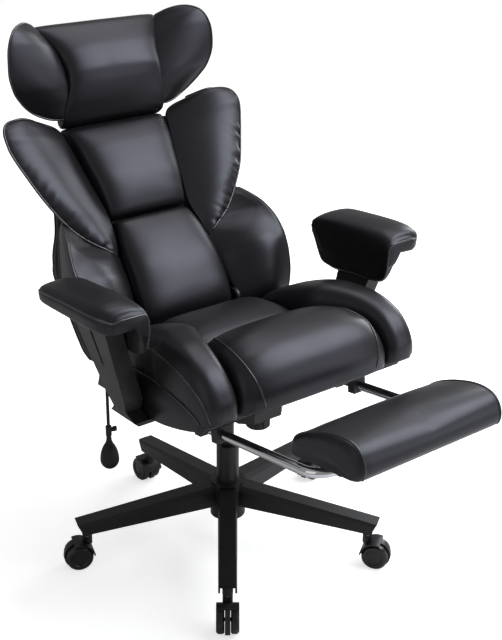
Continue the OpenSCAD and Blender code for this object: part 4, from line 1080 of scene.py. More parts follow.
@dataclass
class Backrest:
    """Centre panels, side bolsters, wings and the rear cover of the back."""

    shop: Workshop
    height: float = 457
    half: float = 261
    lobe: float = 122
    base: float = -2.7
    rear_front: float = 15.3
    rear_depth: float = 37
    wing_bulge: float = 20
    wing_lip: float = 12
    swell: float = 8
    lobe_swell: float = 3
    lobe_lip: float = 3
    lobe_wall: Table = ((0.955, 0), (0.975, 0.3), (0.993, 0.7))
    seam_w: float = 4
    seam_across: tuple[float, float] = (0.46, 2.2)
    seams_down: Table = ((0.3, 2.0), (0.7, 2.0))
    low_panel: Table = (
        (-0.037, 0.41, 0.08), (-0.026, 0.44, 0.23), (0.044, 0.455, 0.39), (0.118, 0.464, 0.43),
        (0.236, 0.452, 0.47), (0.365, 0.425, 0.41), (0.47, 0.379, 0.31), (0.499, 0.364, 0.18), (0.505, 0.345, 0.07))
    up_panel: Table = (
        (0.516, 0.352, 0.07), (0.527, 0.379, 0.21), (0.591, 0.398, 0.34), (0.722, 0.433, 0.43),
        (0.853, 0.467, 0.43), (0.96, 0.493, 0.34), (1.0, 0.505, 0.2), (1.012, 0.487, 0.07))
    lobes: Table = (
        (-0.092, 0.6, 0.9, 0.03, 0.06, 0.02, 1), (-0.075, 0.555, 0.955, 0.06, 0.2, 0.08, 1),
        (-0.04, 0.53, 0.995, 0.1, 0.33, 0.16, 1), (0.009, 0.51, 1.03, 0.12, 0.41, 0.21, 1),
        (0.066, 0.49, 1.05, 0.12, 0.5, 0.23, 1), (0.15, 0.465, 1.06, 0.13, 0.61, 0.23, 1),
        (0.2, 0.455, 1.058, 0.13, 0.66, 0.22, 1), (0.25, 0.45, 1.05, 0.12, 0.69, 0.175, 1.08),
        (0.3, 0.45, 1.04, 0.12, 0.685, 0.13, 1.22), (0.35, 0.455, 1.02, 0.11, 0.65, 0.075, 1.45),
        (0.4, 0.465, 0.99, 0.11, 0.6, 0.01, 1.9), (0.45, 0.48, 0.955, 0.11, 0.5, 0, 2.2),
        (0.5, 0.51, 0.915, 0.1, 0.38, 0, 2.3), (0.54, 0.55, 0.875, 0.07, 0.25, 0, 2.3),
        (0.555, 0.6, 0.84, 0.03, 0.12, 0, 2.3))
    wings: Table = (
        (0.325, 0.46, 0.475, 0.12, 0.15), (0.345, 0.455, 0.51, 0.14, 0.185), (0.372, 0.444, 0.58, 0.15, 0.22),
        (0.414, 0.429, 0.685, 0.148, 0.245), (0.468, 0.41, 0.785, 0.131, 0.27), (0.523, 0.402, 0.86, 0.115, 0.31),
        (0.643, 0.425, 0.99, 0.115, 0.42), (0.768, 0.46, 1.08, 0.115, 0.49), (0.853, 0.483, 1.135, 0.115, 0.54),
        (0.902, 0.498, 1.16, 0.115, 0.58), (0.954, 0.513, 1.17, 0.115, 0.63), (0.99, 0.53, 1.155, 0.115, 0.63),
        (1.02, 0.575, 1.115, 0.13, 0.6), (1.038, 0.66, 1.05, 0.18, 0.55), (1.045, 0.75, 0.98, 0.26, 0.5))
    rear: Table = (
        (-0.127, 0.862, 0.22), (-0.114, 0.927, 0.65), (-0.08, 0.966, 0.92), (-0.025, 0.985, 1), (0.328, 0.989, 1),
        (0.438, 0.927, 1), (0.547, 0.828, 1), (0.656, 0.766, 0.97), (0.875, 0.682, 0.92), (0.976, 0.644, 0.76),
        (1, 0.605, 0.49), (1.01, 0.559, 0.16))

    def panel(self, word: str, table: Table, seed: int, fold: Fold, seam: Edge) -> None:
        """Makes a centre panel of the back.

        Args:
            word: Which of the two it is, lower or upper.
            table: Its rows.
            seed: Seed of its unevenness.
            fold: Its long crease.
            seam: Its edge at the seam between the panels.
        """
        sizes = self.height, self.half, self.lobe
        skin = self.shop.arched(both_sides(smooth_rows(table, sizes), *sizes), 0.5, self.base, on_back)
        edge = Puckers(0.5, 11, 24, 5.0)
        skin.crumple(0.35, seed, [(seam, Puckers(0.7, 11, 24, 6.0)), (Edge.FIRST, edge), (Edge.LAST, edge)], [fold])
        self.shop.pad(f"centre_panel_{word}", skin, "back", f"back_panel_{word}", fill=0.85, swell=self.swell)

    def bolster(self, side: Side) -> None:
        """Makes a lower side bolster, which flares out to its piped edge and has a face down its outer side.

        Args:
            side: Side of the chair.
        """
        rows = smooth_rows(self.lobes, (self.height, self.half, self.half, self.lobe, self.lobe, self.lobe, 20))
        front, base, edge = [], [], []
        t = np.linspace(1, 0, FACE_POINTS)
        for share, inner, outer, d_in, d_out, bulge, power in rows:
            height, x_in, x_out = share * self.height, inner * self.half, outer * self.half
            rise = (d_in + (d_out - d_in) * t**power + bulge * np.sin(math.pi * t)) * self.lobe
            top = d_out * self.lobe
            wall = [(x_out * x, between(self.base, top, z)) for x, z in self.lobe_wall]
            face = np.column_stack([x_in + (x_out - self.lobe_lip - x_in) * t, rise])
            section = np.vstack([wall, (x_out, top - self.lobe_lip), face, (x_in, self.base)])
            section = resample(section, PROFILE_POINTS)
            front.append(on_back(section[:, 0], section[:, 1], height))
            base.append(on_back(np.linspace(wall[0][0], x_in, BASE_POINTS), self.base, height))
            edge.append(on_back(x_out, top, height))
        skin = Skin.sewn(front, base, self.shop.grid_step).on(side)
        skin.crumple(0.25, 40 + side.value, [(Edge.FIRST, Puckers(0.9, 16, 21, 5.0, 0.1, 0.9)),
                                             (Edge.LAST, Puckers(0.7, 14, 26, 5.0))])
        piece = self.shop.pad(f"lower_bolster_{side.word}", skin, "back", f"back_bolster_{side.word}", fill=0.8,
                              swell=self.lobe_swell)
        # The edge's piping leaves out the sections that turn in at the bottom and under the wing
        path = np.array(edge)[14:-24] * side.flip
        self.shop.piping(f"lower_bolster_piping_{side.word}", path, "back", on=piece)
        self.shop.piping(f"lower_bolster_rear_piping_{side.word}", skin.column(0.0), "back")

    def wing(self, side: Side) -> None:
        """Makes an upper wing, which bulges between its inner seam and its piped outer edge.

        Args:
            side: Side of the chair.
        """
        sizes = np.array([self.height, self.half, self.half, self.lobe, self.lobe])
        front, base = [], []
        t = np.linspace(0, 1, FACE_POINTS)
        for height, inner, outer, d_in, d_out in smooth_rows(self.wings, sizes) * sizes:
            bulge = self.wing_bulge * min(1.0, (outer - inner) / self.half * 2)
            across = inner + (outer - inner) * t
            depth = d_in + (d_out - d_in) * t + bulge * np.sin(math.pi * t**1.35) ** 0.8
            front.append(on_back(across, depth, height))
            base.append(on_back(across, self.base + (d_out - self.wing_lip - self.base) * t**1.3, height))
        skin = Skin.sewn(front, base, self.shop.grid_step).closed(0.0, 7.0).on(side)
        skin.crumple(0.4, 70 + 5 * side.value, [
            (Edge.LAST, Puckers(3.6, 21, 15.5, 5.2, 0.1, 0.66)), (Edge.LAST, Puckers(1.0, 13, 20, 4.0, 0.6, 0.95)),
            (Edge.FIRST, Puckers(0.5, 10, 30, 6.0))])
        piece = self.shop.pad(f"upper_wing_{side.word}", skin, "back", f"back_wing_{side.word}", fill=0.75,
                              swell=self.swell)
        path = np.vstack([skin.front[2:-5, -1], skin.front[-5, ::-1][3:]])
        self.shop.piping(f"upper_wing_piping_{side.word}", path, "back", 2.6, on=piece)

    def shell(self) -> None:
        """Makes the padded rear cover with its border piping and the seams across it and down it."""
        sizes = np.array([self.height, self.half, self.rear_depth])
        front, base = [], []
        for height, half, depth in smooth_rows(self.rear, sizes) * sizes:
            section = arch(half, depth, 0.35)
            front.append(on_back(section[:, 0], -self.rear_front - section[:, 1], height))
            base.append(on_back(np.linspace(half, -half, BASE_POINTS), -self.rear_front, height))
        skin = Skin.sewn(front, base, self.shop.grid_step * 1.3)
        along, across = skin.reach()
        rows, columns = skin.shares()
        lines = [(rows, along[-1].mean(), *self.seam_across)]
        lines += [(columns, across[:, -1].mean(), *seam) for seam in self.seams_down]
        height = np.zeros(rows.shape)
        for at, length, share, depth in lines:
            height = height - depth * MM * np.exp(-(((at - share) * length) / (self.seam_w * MM)) ** 2)
        skin.raise_by(height)
        skin.crumple(0.5, 23, [(Edge.START, Puckers(1.0, 18, 24)), (Edge.END, Puckers(0.8, 14, 20))])
        self.shop.pad("rear_shell", skin, "back", "rear_cover", fill=0.7)
        for share, word in ((0.035, "left"), (0.965, "right")):
            self.shop.piping(f"rear_shell_piping_{word}", skin.column(share)[6:-6], "back")

    def build(self) -> None:
        """Builds every soft piece of the back."""
        self.panel("lower", self.low_panel, 11, Fold((0.16, 0.1), (0.1, 0.9), 0.7, 14), Edge.END)
        self.panel("upper", self.up_panel, 17, Fold((0.2, 0.05), (0.35, 0.5), 0.4, 14), Edge.START)
        for side in Side:
            self.bolster(side)
            self.wing(side)
        self.shell()


@dataclass
class Headrest:
    """The headrest's centre pad and its two wings."""

    shop: Workshop
    low: float = 486
    height: float = 176
    half: float = 264
    depth: float = 66
    wing_bulge: float = 16
    wing_base: float = 0.75
    wing_lip: float = 12
    swell: float = 8
    pad: Table = (
        (-0.135, 0.475, 0.25, 0.07, 0.2), (-0.115, 0.5, 0.31, 0.27, 0.45), (-0.04, 0.505, 0.47, 0.41, 0.75),
        (0.06, 0.48, 0.76, 0.47, 1.0), (0.15, 0.465, 1.0, 0.48, 1.13), (0.227, 0.452, 1.17, 0.49, 1.256),
        (0.345, 0.452, 1.305, 0.53, 1.426), (0.483, 0.462, 1.345, 0.56, 1.24), (0.62, 0.488, 1.36, 0.57, 1.18),
        (0.744, 0.52, 1.335, 0.55, 1.12), (0.85, 0.557, 1.305, 0.495, 1.02), (0.938, 0.588, 1.27, 0.44, 0.9),
        (1.02, 0.612, 1.23, 0.3, 0.65), (1.052, 0.608, 1.2, 0.15, 0.35), (1.06, 0.585, 1.18, 0.06, 0.2))
    wings: Table = (
        (-0.065, 0.467, 0.53, 0.5, 0.46), (-0.045, 0.46, 0.6, 0.58, 0.46), (0.03, 0.442, 0.72, 0.8, 0.52),
        (0.1, 0.428, 0.815, 0.98, 0.72), (0.17, 0.42, 0.89, 1.11, 1.0), (0.244, 0.415, 0.95, 1.22, 1.3),
        (0.42, 0.42, 0.995, 1.36, 1.78), (0.58, 0.438, 0.99, 1.44, 2.1), (0.72, 0.472, 0.96, 1.49, 2.3),
        (0.82, 0.506, 0.915, 1.49, 2.38), (0.9, 0.538, 0.85, 1.48, 2.32), (0.95, 0.556, 0.78, 1.47, 2.2),
        (0.978, 0.57, 0.72, 1.47, 2.02), (0.988, 0.585, 0.68, 1.47, 1.88))

    def build(self) -> None:
        """Builds the pad and both wings."""
        sizes = np.array([self.height, self.half, self.depth, self.depth, self.depth])
        front, base = [], []
        for share, half, centre, crown, under in smooth_rows(self.pad, sizes) * sizes:
            section, rear = arch(half, crown, 0.55), arch(half, under, 0.4, 33)
            front.append(on_back(section[:, 0], centre + section[:, 1], self.low + share))
            base.append(on_back(rear[:, 0], centre - rear[:, 1], self.low + share))
        skin = Skin.sewn(front, base, self.shop.grid_step).closed(3.0, 4.0)
        edge = Puckers(0.6, 12, 22, 5.0)
        skin.crumple(0.35, 31, [(Edge.FIRST, edge), (Edge.LAST, edge), (Edge.START, Puckers(0.7, 12, 24, 6.0))])
        self.shop.pad("headrest_cushion", skin, "back", "headrest", fill=0.85, swell=self.swell)
        for side in Side:
            self.wing(side)

    def wing(self, side: Side) -> None:
        """Makes a wing of the headrest with piping along its inner seam and its outer edge.

        Args:
            side: Side of the chair.
        """
        d = self.depth
        front, base = [], []
        t = np.linspace(0, 1, FACE_POINTS)
        for share, inner, outer, d_in, d_out in smooth_rows(self.wings, (self.height, self.half, self.half, d, d)):
            height = self.low + share * self.height
            bulge = self.wing_bulge * min(1.0, (outer - inner) * 2)
            across = (inner + (outer - inner) * t) * self.half
            front.append(on_back(across, (d_in + (d_out - d_in) * t) * d + bulge * np.sin(math.pi * t) ** 0.8, height))
            low = (d_in - self.wing_base) * d
            base.append(on_back(across, low + (d_out * d - self.wing_lip - low) * t**1.3, height))
        skin = Skin.sewn(front, base, self.shop.grid_step).closed(3.0, 4.0).on(side)
        skin.crumple(0.35, 90 + side.value, [(Edge.LAST, Puckers(0.8, 9, 11, 3.0)),
                                             (Edge.FIRST, Puckers(0.5, 10, 22, 5.0))])
        piece = self.shop.pad(f"head_wing_{side.word}", skin, "back", f"headrest_wing_{side.word}", fill=0.75,
                              swell=self.swell)
        self.shop.piping(f"head_wing_seam_{side.word}", skin.front[5:-5, 1], "back", on=piece)
        outer = np.vstack([skin.front[6, 2:-1], skin.front[6:-6, -1], skin.front[-6, ::-1][1:-2]])
        self.shop.piping(f"head_wing_piping_{side.word}", outer, "back", on=piece)


@dataclass
class Seat:
    """Skirted core, rear cushion, front roll and side bolsters of the seat."""

    shop: Workshop
    rear: float = 86
    front: float = 262
    pan_z: float = 424
    pan_t: float = 12
    pan_rise: float = 40
    pan_level: float = -90
    core_h: float = 78
    front_rise: float = 8
    half: float = 262
    gap: float = 0.3
    floor_gap: float = 0.4
    floor_rear: float = 112
    floor_inset: float = 2
    rounding: Table = ((-1, 0.93), (-0.994, 0.97), (-0.98, 0.99), (-0.96, 1.0))
    skirt_wave: float = 1.2
    cushion_h: float = 44
    roll_h: float = 86
    roll_half: float = 190
    bolster_h: float = 86
    cushion_half: float = 263.9
    swell: float = 8
    cushion: Table = (
        (0, 0.458, 0.14), (0.01, 0.492, 0.45), (0.05, 0.504, 0.77), (0.15, 0.511, 0.95), (0.3, 0.519, 1.02),
        (0.42, 0.523, 0.91), (0.47, 0.523, 0.68), (0.485, 0.504, 0.36))
    roll: Table = (
        (0.492, 0.642, 0.09), (0.497, 0.705, 0.33), (0.52, 0.732, 0.51), (0.6, 0.8, 0.79), (0.72, 0.879, 1.02),
        (0.82, 0.937, 1.13), (0.9, 0.974, 1.13), (0.95, 0.989, 1), (0.98, 0.995, 0.79), (0.995, 0.989, 0.58))
    bolsters: Table = (
        (0, 0.611, 0.931, 0.04), (0.015, 0.558, 0.975, 0.1), (0.04, 0.537, 0.99, 0.22), (0.07, 0.534, 0.996, 0.36),
        (0.15, 0.531, 1, 0.54), (0.3, 0.531, 1, 0.79), (0.47, 0.534, 1, 1.02), (0.52, 0.542, 1, 1.07),
        (0.6, 0.588, 1.01, 1.1), (0.72, 0.649, 1.028, 1.1), (0.82, 0.691, 1.038, 1.05), (0.9, 0.718, 1.042, 0.94),
        (0.95, 0.729, 1.036, 0.78), (0.98, 0.733, 1.025, 0.6), (0.995, 0.737, 1.01, 0.42))

    @property
    def length(self) -> float:
        """Length of the core."""
        return self.rear + self.front

    def line(self, q: float) -> np.ndarray:
        """The core's upper line, as a depth and a height, at a share from the rear to the front."""
        height = self.pan_z + self.pan_t + self.core_h * (1 - q**5) ** 0.2 + self.front_rise * q
        return np.array([self.rear - self.length * q, height])

    def out(self, q: float) -> np.ndarray:
        """The outward direction square to the core's upper line."""
        way = self.line(min(q + 0.002, 1)) - self.line(max(q - 0.004, 0))
        return np.array([way[1], -way[0]]) / np.linalg.norm(way)

    def under(self, y: float) -> float:
        """Height of the pan's underside at a depth, which rises in front of pan_level."""
        past = max(self.pan_level - y, 0) / (self.front + self.pan_level)
        return self.pan_z + self.pan_rise * past**1.6

    def place(self, across: np.ndarray, lift: np.ndarray, q: float) -> np.ndarray:
        """Points in metres, from places across and heights over the core's upper line at a share of it."""
        return np.column_stack([across, lift[:, None] * self.out(q) + self.line(q)]) * MM

    def arched(self, rows: np.ndarray, power: float) -> Skin:
        """A pad on the core from rows of share, inner edge, outer edge and crown in millimetres."""
        return self.shop.arched(rows, power, self.gap, self.place, spread=True)

    def core(self) -> None:
        """Makes the boxed core under the cushions, with the skirt that shows at the sides."""
        line = [self.line(q) for q in np.linspace(0, 0.995, 60) ** 0.8]
        front = self.floor_inset - self.front
        ys = [self.floor_rear, *(between(self.pan_level, front, t) for t in np.linspace(0, 1, 12))]
        floor = [np.array([y, self.under(y) + self.floor_gap]) for y in ys]
        outline = resample(np.vstack([floor, line[::-1], floor[:1]]), OUTLINE_POINTS)[:-1]
        middle = outline.mean(axis=0)
        middles = [(x, 1.0) for x in np.linspace(-0.9, 0.9, 30)]
        widths = [*self.rounding, *middles, *((-x, keep) for x, keep in self.rounding[::-1])]
        phase = np.random.default_rng(5).uniform(0, 6, 4)
        wave = self.skirt_wave * np.sin(outline[:, 0] / 23 + phase[0]) * np.sin(outline[:, 1] / 31 + phase[1])
        points = []
        for x, keep in widths:
            xs = x * self.half + np.sign(x) * wave * (abs(x) > 0.95)
            points += [tuple(p) for p in np.column_stack([xs, middle + (outline - middle) * keep]) * MM]
        faces = ring_faces(len(widths), len(outline), way=-1)
        piece = make_mesh("seat_skirt", points, faces, self.shop.finishes.get("leather"))
        self.shop.declare(piece, "seat", "leather", "seat_core")

    def build(self) -> None:
        """Builds every soft piece of the seat."""
        self.core()
        rows = smooth_rows(self.cushion, (self.length, self.half, self.cushion_h))
        cushion = self.arched(both_sides(rows, 1, self.cushion_half, self.cushion_h), 0.5)
        edge = Puckers(0.5, 11, 24, 5.0)
        cushion.crumple(0.4, 51, [(Edge.END, Puckers(0.7, 12, 26, 6.0)), (Edge.FIRST, edge), (Edge.LAST, edge)])
        self.shop.pad("rear_cushion", cushion, "seat", "seat_cushion", fill=0.85, swell=self.swell)
        rows = smooth_rows(self.roll, (self.length, self.roll_half, self.roll_h))
        roll = self.arched(both_sides(rows, 1, self.roll_half, self.roll_h), 0.5)
        edge = Puckers(0.8, 30, 24, 6.0, 0.1, 0.9)
        roll.crumple(0.45, 57, [(Edge.START, Puckers(0.7, 14, 28, 7.0)), (Edge.FIRST, edge), (Edge.LAST, edge)])
        piece = self.shop.pad("front_roll", roll, "seat", "seat_roll", fill=0.9, swell=self.swell)
        for share, word in ((0.17, "left"), (0.83, "right")):
            self.shop.piping(f"front_roll_piping_{word}", roll.column(share)[5:-2], "seat", on=piece)
        self.shop.stitches("front_roll_stitches", lay_on(roll.front[11, 8:-8], piece), roll.normals()[11, 8:-8], "seat")
        self.shop.piping("front_roll_seam", roll.front[7, 6:-6], "seat", 1.6, on=piece)
        for side in Side:
            self.bolster(side)

    def bolster(self, side: Side) -> None:
        """Makes a side bolster, boxed on its outer side, with its two lines of piping.

        Args:
            side: Side of the chair.
        """
        rows = smooth_rows(self.bolsters, (self.length, self.half, self.half, self.bolster_h))
        skin = self.arched(rows * np.array([1, self.half, self.half, self.bolster_h]), 0.62).on(side)
        skin.crumple(0.45, 63 + side.value, [(Edge.FIRST, Puckers(0.8, 20, 26, 6.0, 0.3, 1.0)),
                                             (Edge.LAST, Puckers(0.7, 16, 26, 6.0))])
        piece = self.shop.pad(f"side_bolster_{side.word}", skin, "seat", f"seat_bolster_{side.word}", fill=0.8,
                              swell=self.swell)
        self.shop.piping(f"side_bolster_piping_{side.word}", skin.column(0.24)[5:-1], "seat", on=piece)
        low = skin.column(0.0)[6:-1] + np.array([side.value * 0.5, 0, 0]) * MM
        self.shop.piping(f"skirt_piping_{side.word}", low, "seat")


@dataclass
class Armrests:
    """Pads of the armrests, each with a flap down its inner side."""

    shop: Workshop
    inner: float = 306
    width: float = 104
    length: float = 246
    top: float = 712
    flap: float = 122
    thick: float = 50
    front: float = -160
    flap_low_t: float = 6.5
    flap_t: float = 26
    cap: float = 6
    rows: Table = (
        (0, 0.76, 0.62, 0.66), (0.012, 0.84, 0.74, 0.8), (0.04, 0.9, 0.86, 0.9), (0.09, 0.955, 0.93, 0.96),
        (0.16, 0.985, 0.965, 1), (0.26, 1, 0.99, 1), (0.445, 1, 1.0, 0.96), (0.685, 1, 1.03, 0.86),
        (0.842, 0.991, 1.0, 0.77), (0.904, 0.972, 0.82, 0.71), (0.952, 0.926, 0.6, 0.63), (0.986, 0.815, 0.48, 0.52),
        (1, 0.648, 0.44, 0.42))

    def flap_x(self, z: float) -> float:
        """Outer face of the flap at a height."""
        share = (z - self.top + self.flap) / (self.flap - self.thick)
        return self.inner + self.flap_low_t + (self.flap_t - self.flap_low_t) * share

    def corners(self, share: float, outer: float, flap: float, thick: float) -> tuple[float, ...]:
        """Sizes of the section of one row.

        Args:
            share: Place of the row.
            outer: Outer side, as a share of the width.
            flap: Length of the flap, as a share.
            thick: Thickness, as a share.

        Returns:
            The depth, outer side, flap's bottom, top and edge radius, in millimetres.
        """
        low_z = self.top - self.thick
        top = low_z + self.thick * thick
        return (self.front + self.length * share, self.inner + self.width * outer, self.top - self.flap * flap, top,
                (top - low_z) * 0.3)

    def ring(self, row: Sequence[float]) -> np.ndarray:
        """Draws one closed section of a pad.

        Args:
            row: Row of the table.

        Returns:
            Points in millimetres.
        """
        low_z = self.top - self.thick
        y, out, low, top, edge = self.corners(*row)
        knee = low + (low_z - low) * 0.3
        x_top = min(self.flap_x(low_z), self.inner + (out - self.inner) * 0.6)
        points = [
            (out - edge / 2, low_z), (out, low_z + edge), (out, top - edge * 1.3), (out - edge, top - edge * 0.35),
            (between(self.inner, out, 0.6), top), (between(self.inner, out, 0.3), top - edge * 0.15),
            (self.inner + edge * 0.5, top - edge * 0.8), (self.inner, top - edge * 2),
            (self.inner - 1.5, between(low, top, 0.4)), (self.inner, knee), (self.inner + self.flap_low_t * 0.3, low),
            (between(self.inner, min(self.flap_x(low), x_top), 0.8), low), (min(self.flap_x(knee), x_top), knee),
            (x_top, low_z), (between(x_top, out - edge / 2, 0.5), low_z)]
        ring = round_line(points, RING_POINTS + 1, closed=True)[:-1]
        return np.column_stack([ring[:, 0], np.full(RING_POINTS, y), ring[:, 1]])

    def seam(self, rows: np.ndarray) -> np.ndarray:
        """Finds the piped line: forward along the outer edge, across the front, down the flap and back along its hem.

        Args:
            rows: Rows of the table.

        Returns:
            Points in metres.
        """
        parts = [self.corners(*row) for row in rows]
        outer = [(out, y, top - edge * 1.2) for y, out, _, top, edge in parts[-2::-1]]
        y, out, low, top, edge = parts[0]
        y -= self.cap * 0.8
        across = [(between(out, self.inner, t), y, top - edge * 0.6) for t in (0.15, 0.4, 0.65, 0.88)]
        down = [(self.inner, between(y, parts[2][0], t), between(top - edge * 1.5, low + 6, t)) for t in (0, 0.35, 0.7)]
        hem = [(self.inner + 0.5, y, low + 1.5) for y, _, low, _, _ in parts[1:-2]]
        return np.array(outer + across + down + hem) * MM

    def pad(self, side: Side) -> None:
        """Makes one pad with piping round its top and down its flap.

        Args:
            side: Side of the chair.
        """
        rows = smooth_rows(self.rows, (self.length, self.width, self.flap, self.thick), 80)
        skin = even_rows(np.array([self.ring(row) for row in rows]) * MM, self.shop.grid_step * MM)
        normal = skin - skin.mean(axis=1, keepdims=True)
        normal /= np.linalg.norm(normal, axis=2)[..., None]
        height = 0.35 * MM * cloud(skin, 0.15, 81 + side.value) + 0.15 * MM * cloud(skin, 0.05, 85 + side.value)
        skin = skin + normal * height[..., None]
        caps = []
        for at, way in ((0, -1.0), (-1, 1.0)):
            ring, mid = skin[at], skin[at].mean(axis=0)
            caps.append([mid + (ring - mid) * math.cos(a) + np.array([0, way * self.cap * MM * math.sin(a), 0])
                         for a in np.linspace(0.2, 1.45, 6)])
        skin = np.concatenate([np.array(caps[0][::-1]), skin, np.array(caps[1])]) * side.flip
        faces = ring_faces(*skin.shape[:2], way=-1)
        piece = make_mesh(f"armrest_{side.word}", skin.reshape(-1, 3), faces, self.shop.finishes.get("leather"))
        self.shop.declare(piece, "seat", "leather", f"arm_pad_{side.word}")
        self.shop.piping(f"armrest_piping_{side.word}", self.seam(rows) * side.flip, "seat", on=piece)

    def build(self) -> None:
        """Builds both pads."""
        for side in Side:
            self.pad(side)


@dataclass
class Footrest:
    """The pad on the footrest's tube."""

    shop: Workshop
    out: float = 500
    bar_z: float = 453
    rise: float = 7
    rear: float = 78
    length: float = 192
    height: float = 69
    half: float = 184
    lift: float = 22.5
    swell: float = 6
    outline: Table = (
        (0, 0.04), (0, 0.26), (0.02, 0.42), (0.09, 0.58), (0.22, 0.74), (0.38, 0.87), (0.54, 0.96), (0.68, 1),
        (0.81, 0.98), (0.91, 0.87), (0.975, 0.66), (1, 0.4), (0.992, 0.16), (0.95, 0))
    ends: Table = ((-1, 0.8), (-0.993, 0.88), (-0.975, 0.95), (-0.94, 0.99), (-0.85, 1), (-0.4, 1.01), (0, 1.02),
                   (0.4, 1.01), (0.85, 1), (0.94, 0.99), (0.975, 0.95), (0.993, 0.88), (1, 0.8))

    def place(self, x: np.ndarray, y: np.ndarray, z: np.ndarray) -> np.ndarray:
        """Turns points of the footrest's own frame into points of the shared frame.

        Args:
            x: Places across, in millimetres.
            y: Places along the rails, rearwards.
            z: Heights over the rails.

        Returns:
            Points in metres.
        """
        a = math.radians(self.rise)
        return np.stack([x, -self.out + y * math.cos(a) + z * math.sin(a),
                         self.bar_z - y * math.sin(a) + z * math.cos(a)], axis=-1) * MM

    def build(self) -> None:
        """Builds the pad with piping round both ends."""
        profile = resample(round_line(self.outline, 200), PROFILE_POINTS)
        mid = self.rear - self.length / 2
        front, base = [], []
        for share, keep in smooth_rows(self.ends, (self.half, 60), 200):
            y = mid + (self.length / 2 - self.length * profile[:, 0]) * min(keep, 1)
            z = self.lift + self.height * profile[:, 1] * keep
            front.append(self.place(np.full(len(profile), share * self.half), y, z))
            base.append(self.place(np.full(BASE_POINTS, share * self.half), np.linspace(y[0], y[-1], BASE_POINTS),
                                   np.linspace(z[0], z[-1], BASE_POINTS)))
        skin = Skin.sewn(front, base, self.shop.grid_step, spread=True)
        edge = Puckers(0.7, 16, 24, 5.0)
        skin.crumple(0.35, 97, [(Edge.START, edge), (Edge.END, edge)])
        piece = self.shop.pad("footrest_cushion", skin, "foot_pad", "footrest_pad", fill=0.9, swell=self.swell)
        for row, word in ((5, "right"), (-6, "left")):
            self.shop.piping(f"footrest_piping_{word}", skin.front[row], "foot_pad", on=piece)


@dataclass
class LumbarPump:
    """The hose between the seat and the squeeze bulb."""

    shop: Workshop
    diameter: float = 7
    route: Table = tuple((-238, 108, z) for z in (420, 405, 385, 365, 345, 320))

    def build(self, nodes: dict[str, bpy.types.Object]) -> None:
        """Args:
            nodes: Rigid nodes by name; not used.
        """
        data = bpy.data.curves.new("pump_hose", "CURVE")
        data.dimensions = "3D"
        data.bevel_depth = self.diameter / 2 * MM
        data.bevel_resolution = 4
        data.use_fill_caps = True
        points = resample(np.array(self.route, float), 20) * MM
        spline = data.splines.new("POLY")
        spline.points.add(len(points) - 1)
        for point, place in zip(spline.points, points):
            point.co = (*map(float, place), 1.0)
        hose = bpy.data.objects.new("pump_hose", data)
        bpy.context.scene.collection.objects.link(hose)
        data.materials.append(self.shop.finishes.get("rubber"))
        self.shop.declare(hose, "seat", "rubber", "lumbar_hose")
        tuple(map(float, points[0]))
        length_of(points)


@dataclass(frozen=True)
class Lamp:
    """A soft box."""

    name: str
    place: tuple[float, float, float]
    power: float
    size: float
    colour: Colour

    def build(self) -> None:
        """Adds the lamp, pointed at the chair's middle."""
        data = bpy.data.lights.new(self.name, "AREA")
        data.energy = self.power
        data.shape = "SQUARE"
        data.size = self.size
        data.color = self.colour
        lamp = bpy.data.objects.new(self.name, data)
        lamp.location = self.place
        lamp.rotation_euler = (Vector((0, 0, 0.65)) - Vector(self.place)).to_track_quat("-Z", "Y").to_euler()
        bpy.context.scene.collection.objects.link(lamp)


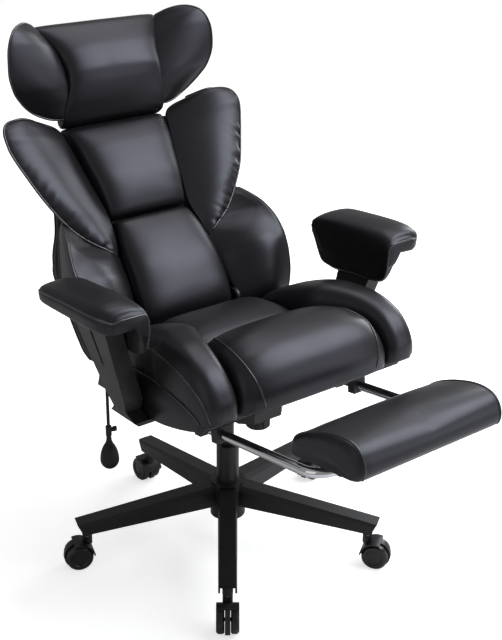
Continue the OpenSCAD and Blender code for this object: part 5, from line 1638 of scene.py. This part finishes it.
@dataclass
class Studio:
    """Floor, lights and camera."""

    camera_place: tuple[float, float, float] = (-1.4811, -1.9302, 1.573)
    heading: float = 38.66
    pitch: float = 22.99
    roll: float = 0.46
    focal_px: float = 1250.3
    long_side_px: float = 640
    sensor: float = 36
    gloss_level: float = 0.06
    fill_level: float = 0.24
    floor_glow: float = 0.66
    floor_half: float = 6
    glow_from: float = 0.5
    glow_to: float = 1.2
    lamps: tuple[Lamp, ...] = (
        Lamp("key", (1.3, -1.15, 2.35), 54, 1.6, (0.92, 0.95, 1.0)),
        Lamp("side", (2.6, 0.5, 1.5), 27, 1.3, (0.94, 0.97, 1.0)),
        Lamp("fill", (-2.3, -0.6, 1.2), 4.5, 1.6, (1.0, 0.92, 0.86)),
        Lamp("front", (1.5, -2.3, 0.9), 9, 1.2, (0.92, 0.95, 1.0)),
        Lamp("top", (0.8, 0.4, 3.0), 22, 1.8, (1.0, 0.98, 1.0)))

    def camera(self) -> None:
        """Places the camera at the photograph's angle."""
        data = bpy.data.cameras.new("camera")
        data.sensor_width = self.sensor
        data.lens = self.sensor * self.focal_px / self.long_side_px
        camera = bpy.data.objects.new("camera", data)
        turn = Matrix.Rotation(math.radians(-self.heading), 4, "Z")
        tip = Matrix.Rotation(math.radians(90 - self.pitch), 4, "X")
        bank = Matrix.Rotation(math.radians(self.roll), 4, "Z")
        camera.matrix_world = Matrix.Translation(self.camera_place) @ turn @ tip @ bank
        bpy.context.scene.collection.objects.link(camera)
        bpy.context.scene.camera = camera

    def world(self) -> None:
        """White to the camera, dimmer in what glosses and diffuses, so that black leather stays black."""
        world = bpy.data.worlds.new("studio")
        bpy.context.scene.world = world
        world.use_nodes = True
        tree = world.node_tree
        path = add_node(tree, "LightPath").outputs
        seen = math_node(tree, "MAXIMUM", path["Is Camera Ray"], path["Is Transmission Ray"])
        seen = math_node(tree, "MAXIMUM", seen, math_node(tree, "MULTIPLY", path["Is Glossy Ray"], self.gloss_level))
        rest = math_node(tree, "MULTIPLY", math_node(tree, "SUBTRACT", 1.0, seen), self.fill_level)
        feed(tree, tree.nodes["Background"], {"Color": (1, 1, 1, 1), "Strength": math_node(tree, "ADD", seen, rest)})

    def floor(self) -> None:
        """A pale floor that keeps the chair's shadow and shows white away from it."""
        half = self.floor_half
        points = [(-half, -half, 0), (half, -half, 0), (half, half, 0), (-half, half, 0)]
        material = bpy.data.materials.new("studio_floor")
        material.use_nodes = True
        tree = material.node_tree
        where = add_node(tree, "TexCoord").outputs["Object"]
        length = add_node(tree, "VectorMath", {0: where}, operation="LENGTH").outputs["Value"]
        ramp = add_node(tree, "MapRange", {
            "From Min": self.glow_from, "From Max": self.glow_to, "To Min": self.floor_glow, "To Max": 1.0,
            "Value": length}).outputs["Result"]
        camera = add_node(tree, "LightPath").outputs["Is Camera Ray"]
        feed(tree, tree.nodes["Principled BSDF"], {
            "Base Color": (0.8, 0.8, 0.8, 1), "Roughness": 0.7, "Specular IOR Level": 0.1,
            "Emission Color": (1, 1, 1, 1), "Emission Strength": math_node(tree, "MULTIPLY", camera, ramp)})
        make_mesh("studio_floor", points, [(0, 1, 2, 3)], material)

    def build(self) -> None:
        """Builds the studio."""
        self.camera()
        self.world()
        self.floor()
        for lamp in self.lamps:
            lamp.build()
        bpy.context.scene.view_settings.view_transform = "Standard"


def dress_nodes(frame: dict, finishes: Finishes) -> None:
    """Gives every rigid node the finish of its slot, or the finish that NODE_FINISH names for it.

    Args:
        finishes: Finishes of the chair.
    """
    slots = {part["node"]: part["material_slot"] for part in frame["record"]["subparts"]}
    for name, thing in frame["nodes"].items():
        material = finishes.get(NODE_FINISH.get(name, slots[name]))
        if not thing.material_slots:
            thing.data.materials.append(material)
        for slot in thing.material_slots:
            slot.material = material
        LOG.info("%s dressed as %s", name, material.name)


def main() -> None:
    """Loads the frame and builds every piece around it."""
    logging.basicConfig(level=logging.INFO, format="%(name)s: %(message)s")
    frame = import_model()
    Studio().build()
    finishes = Finishes()
    shop = Workshop(finishes)
    dress_nodes(frame, finishes)
    LumbarPump(shop).build(frame["nodes"])
    Seat(shop).build()
    Armrests(shop).build()
    Footrest(shop).build()
    Backrest(shop).build()
    Headrest(shop).build()


if __name__ == "__main__":
    main()
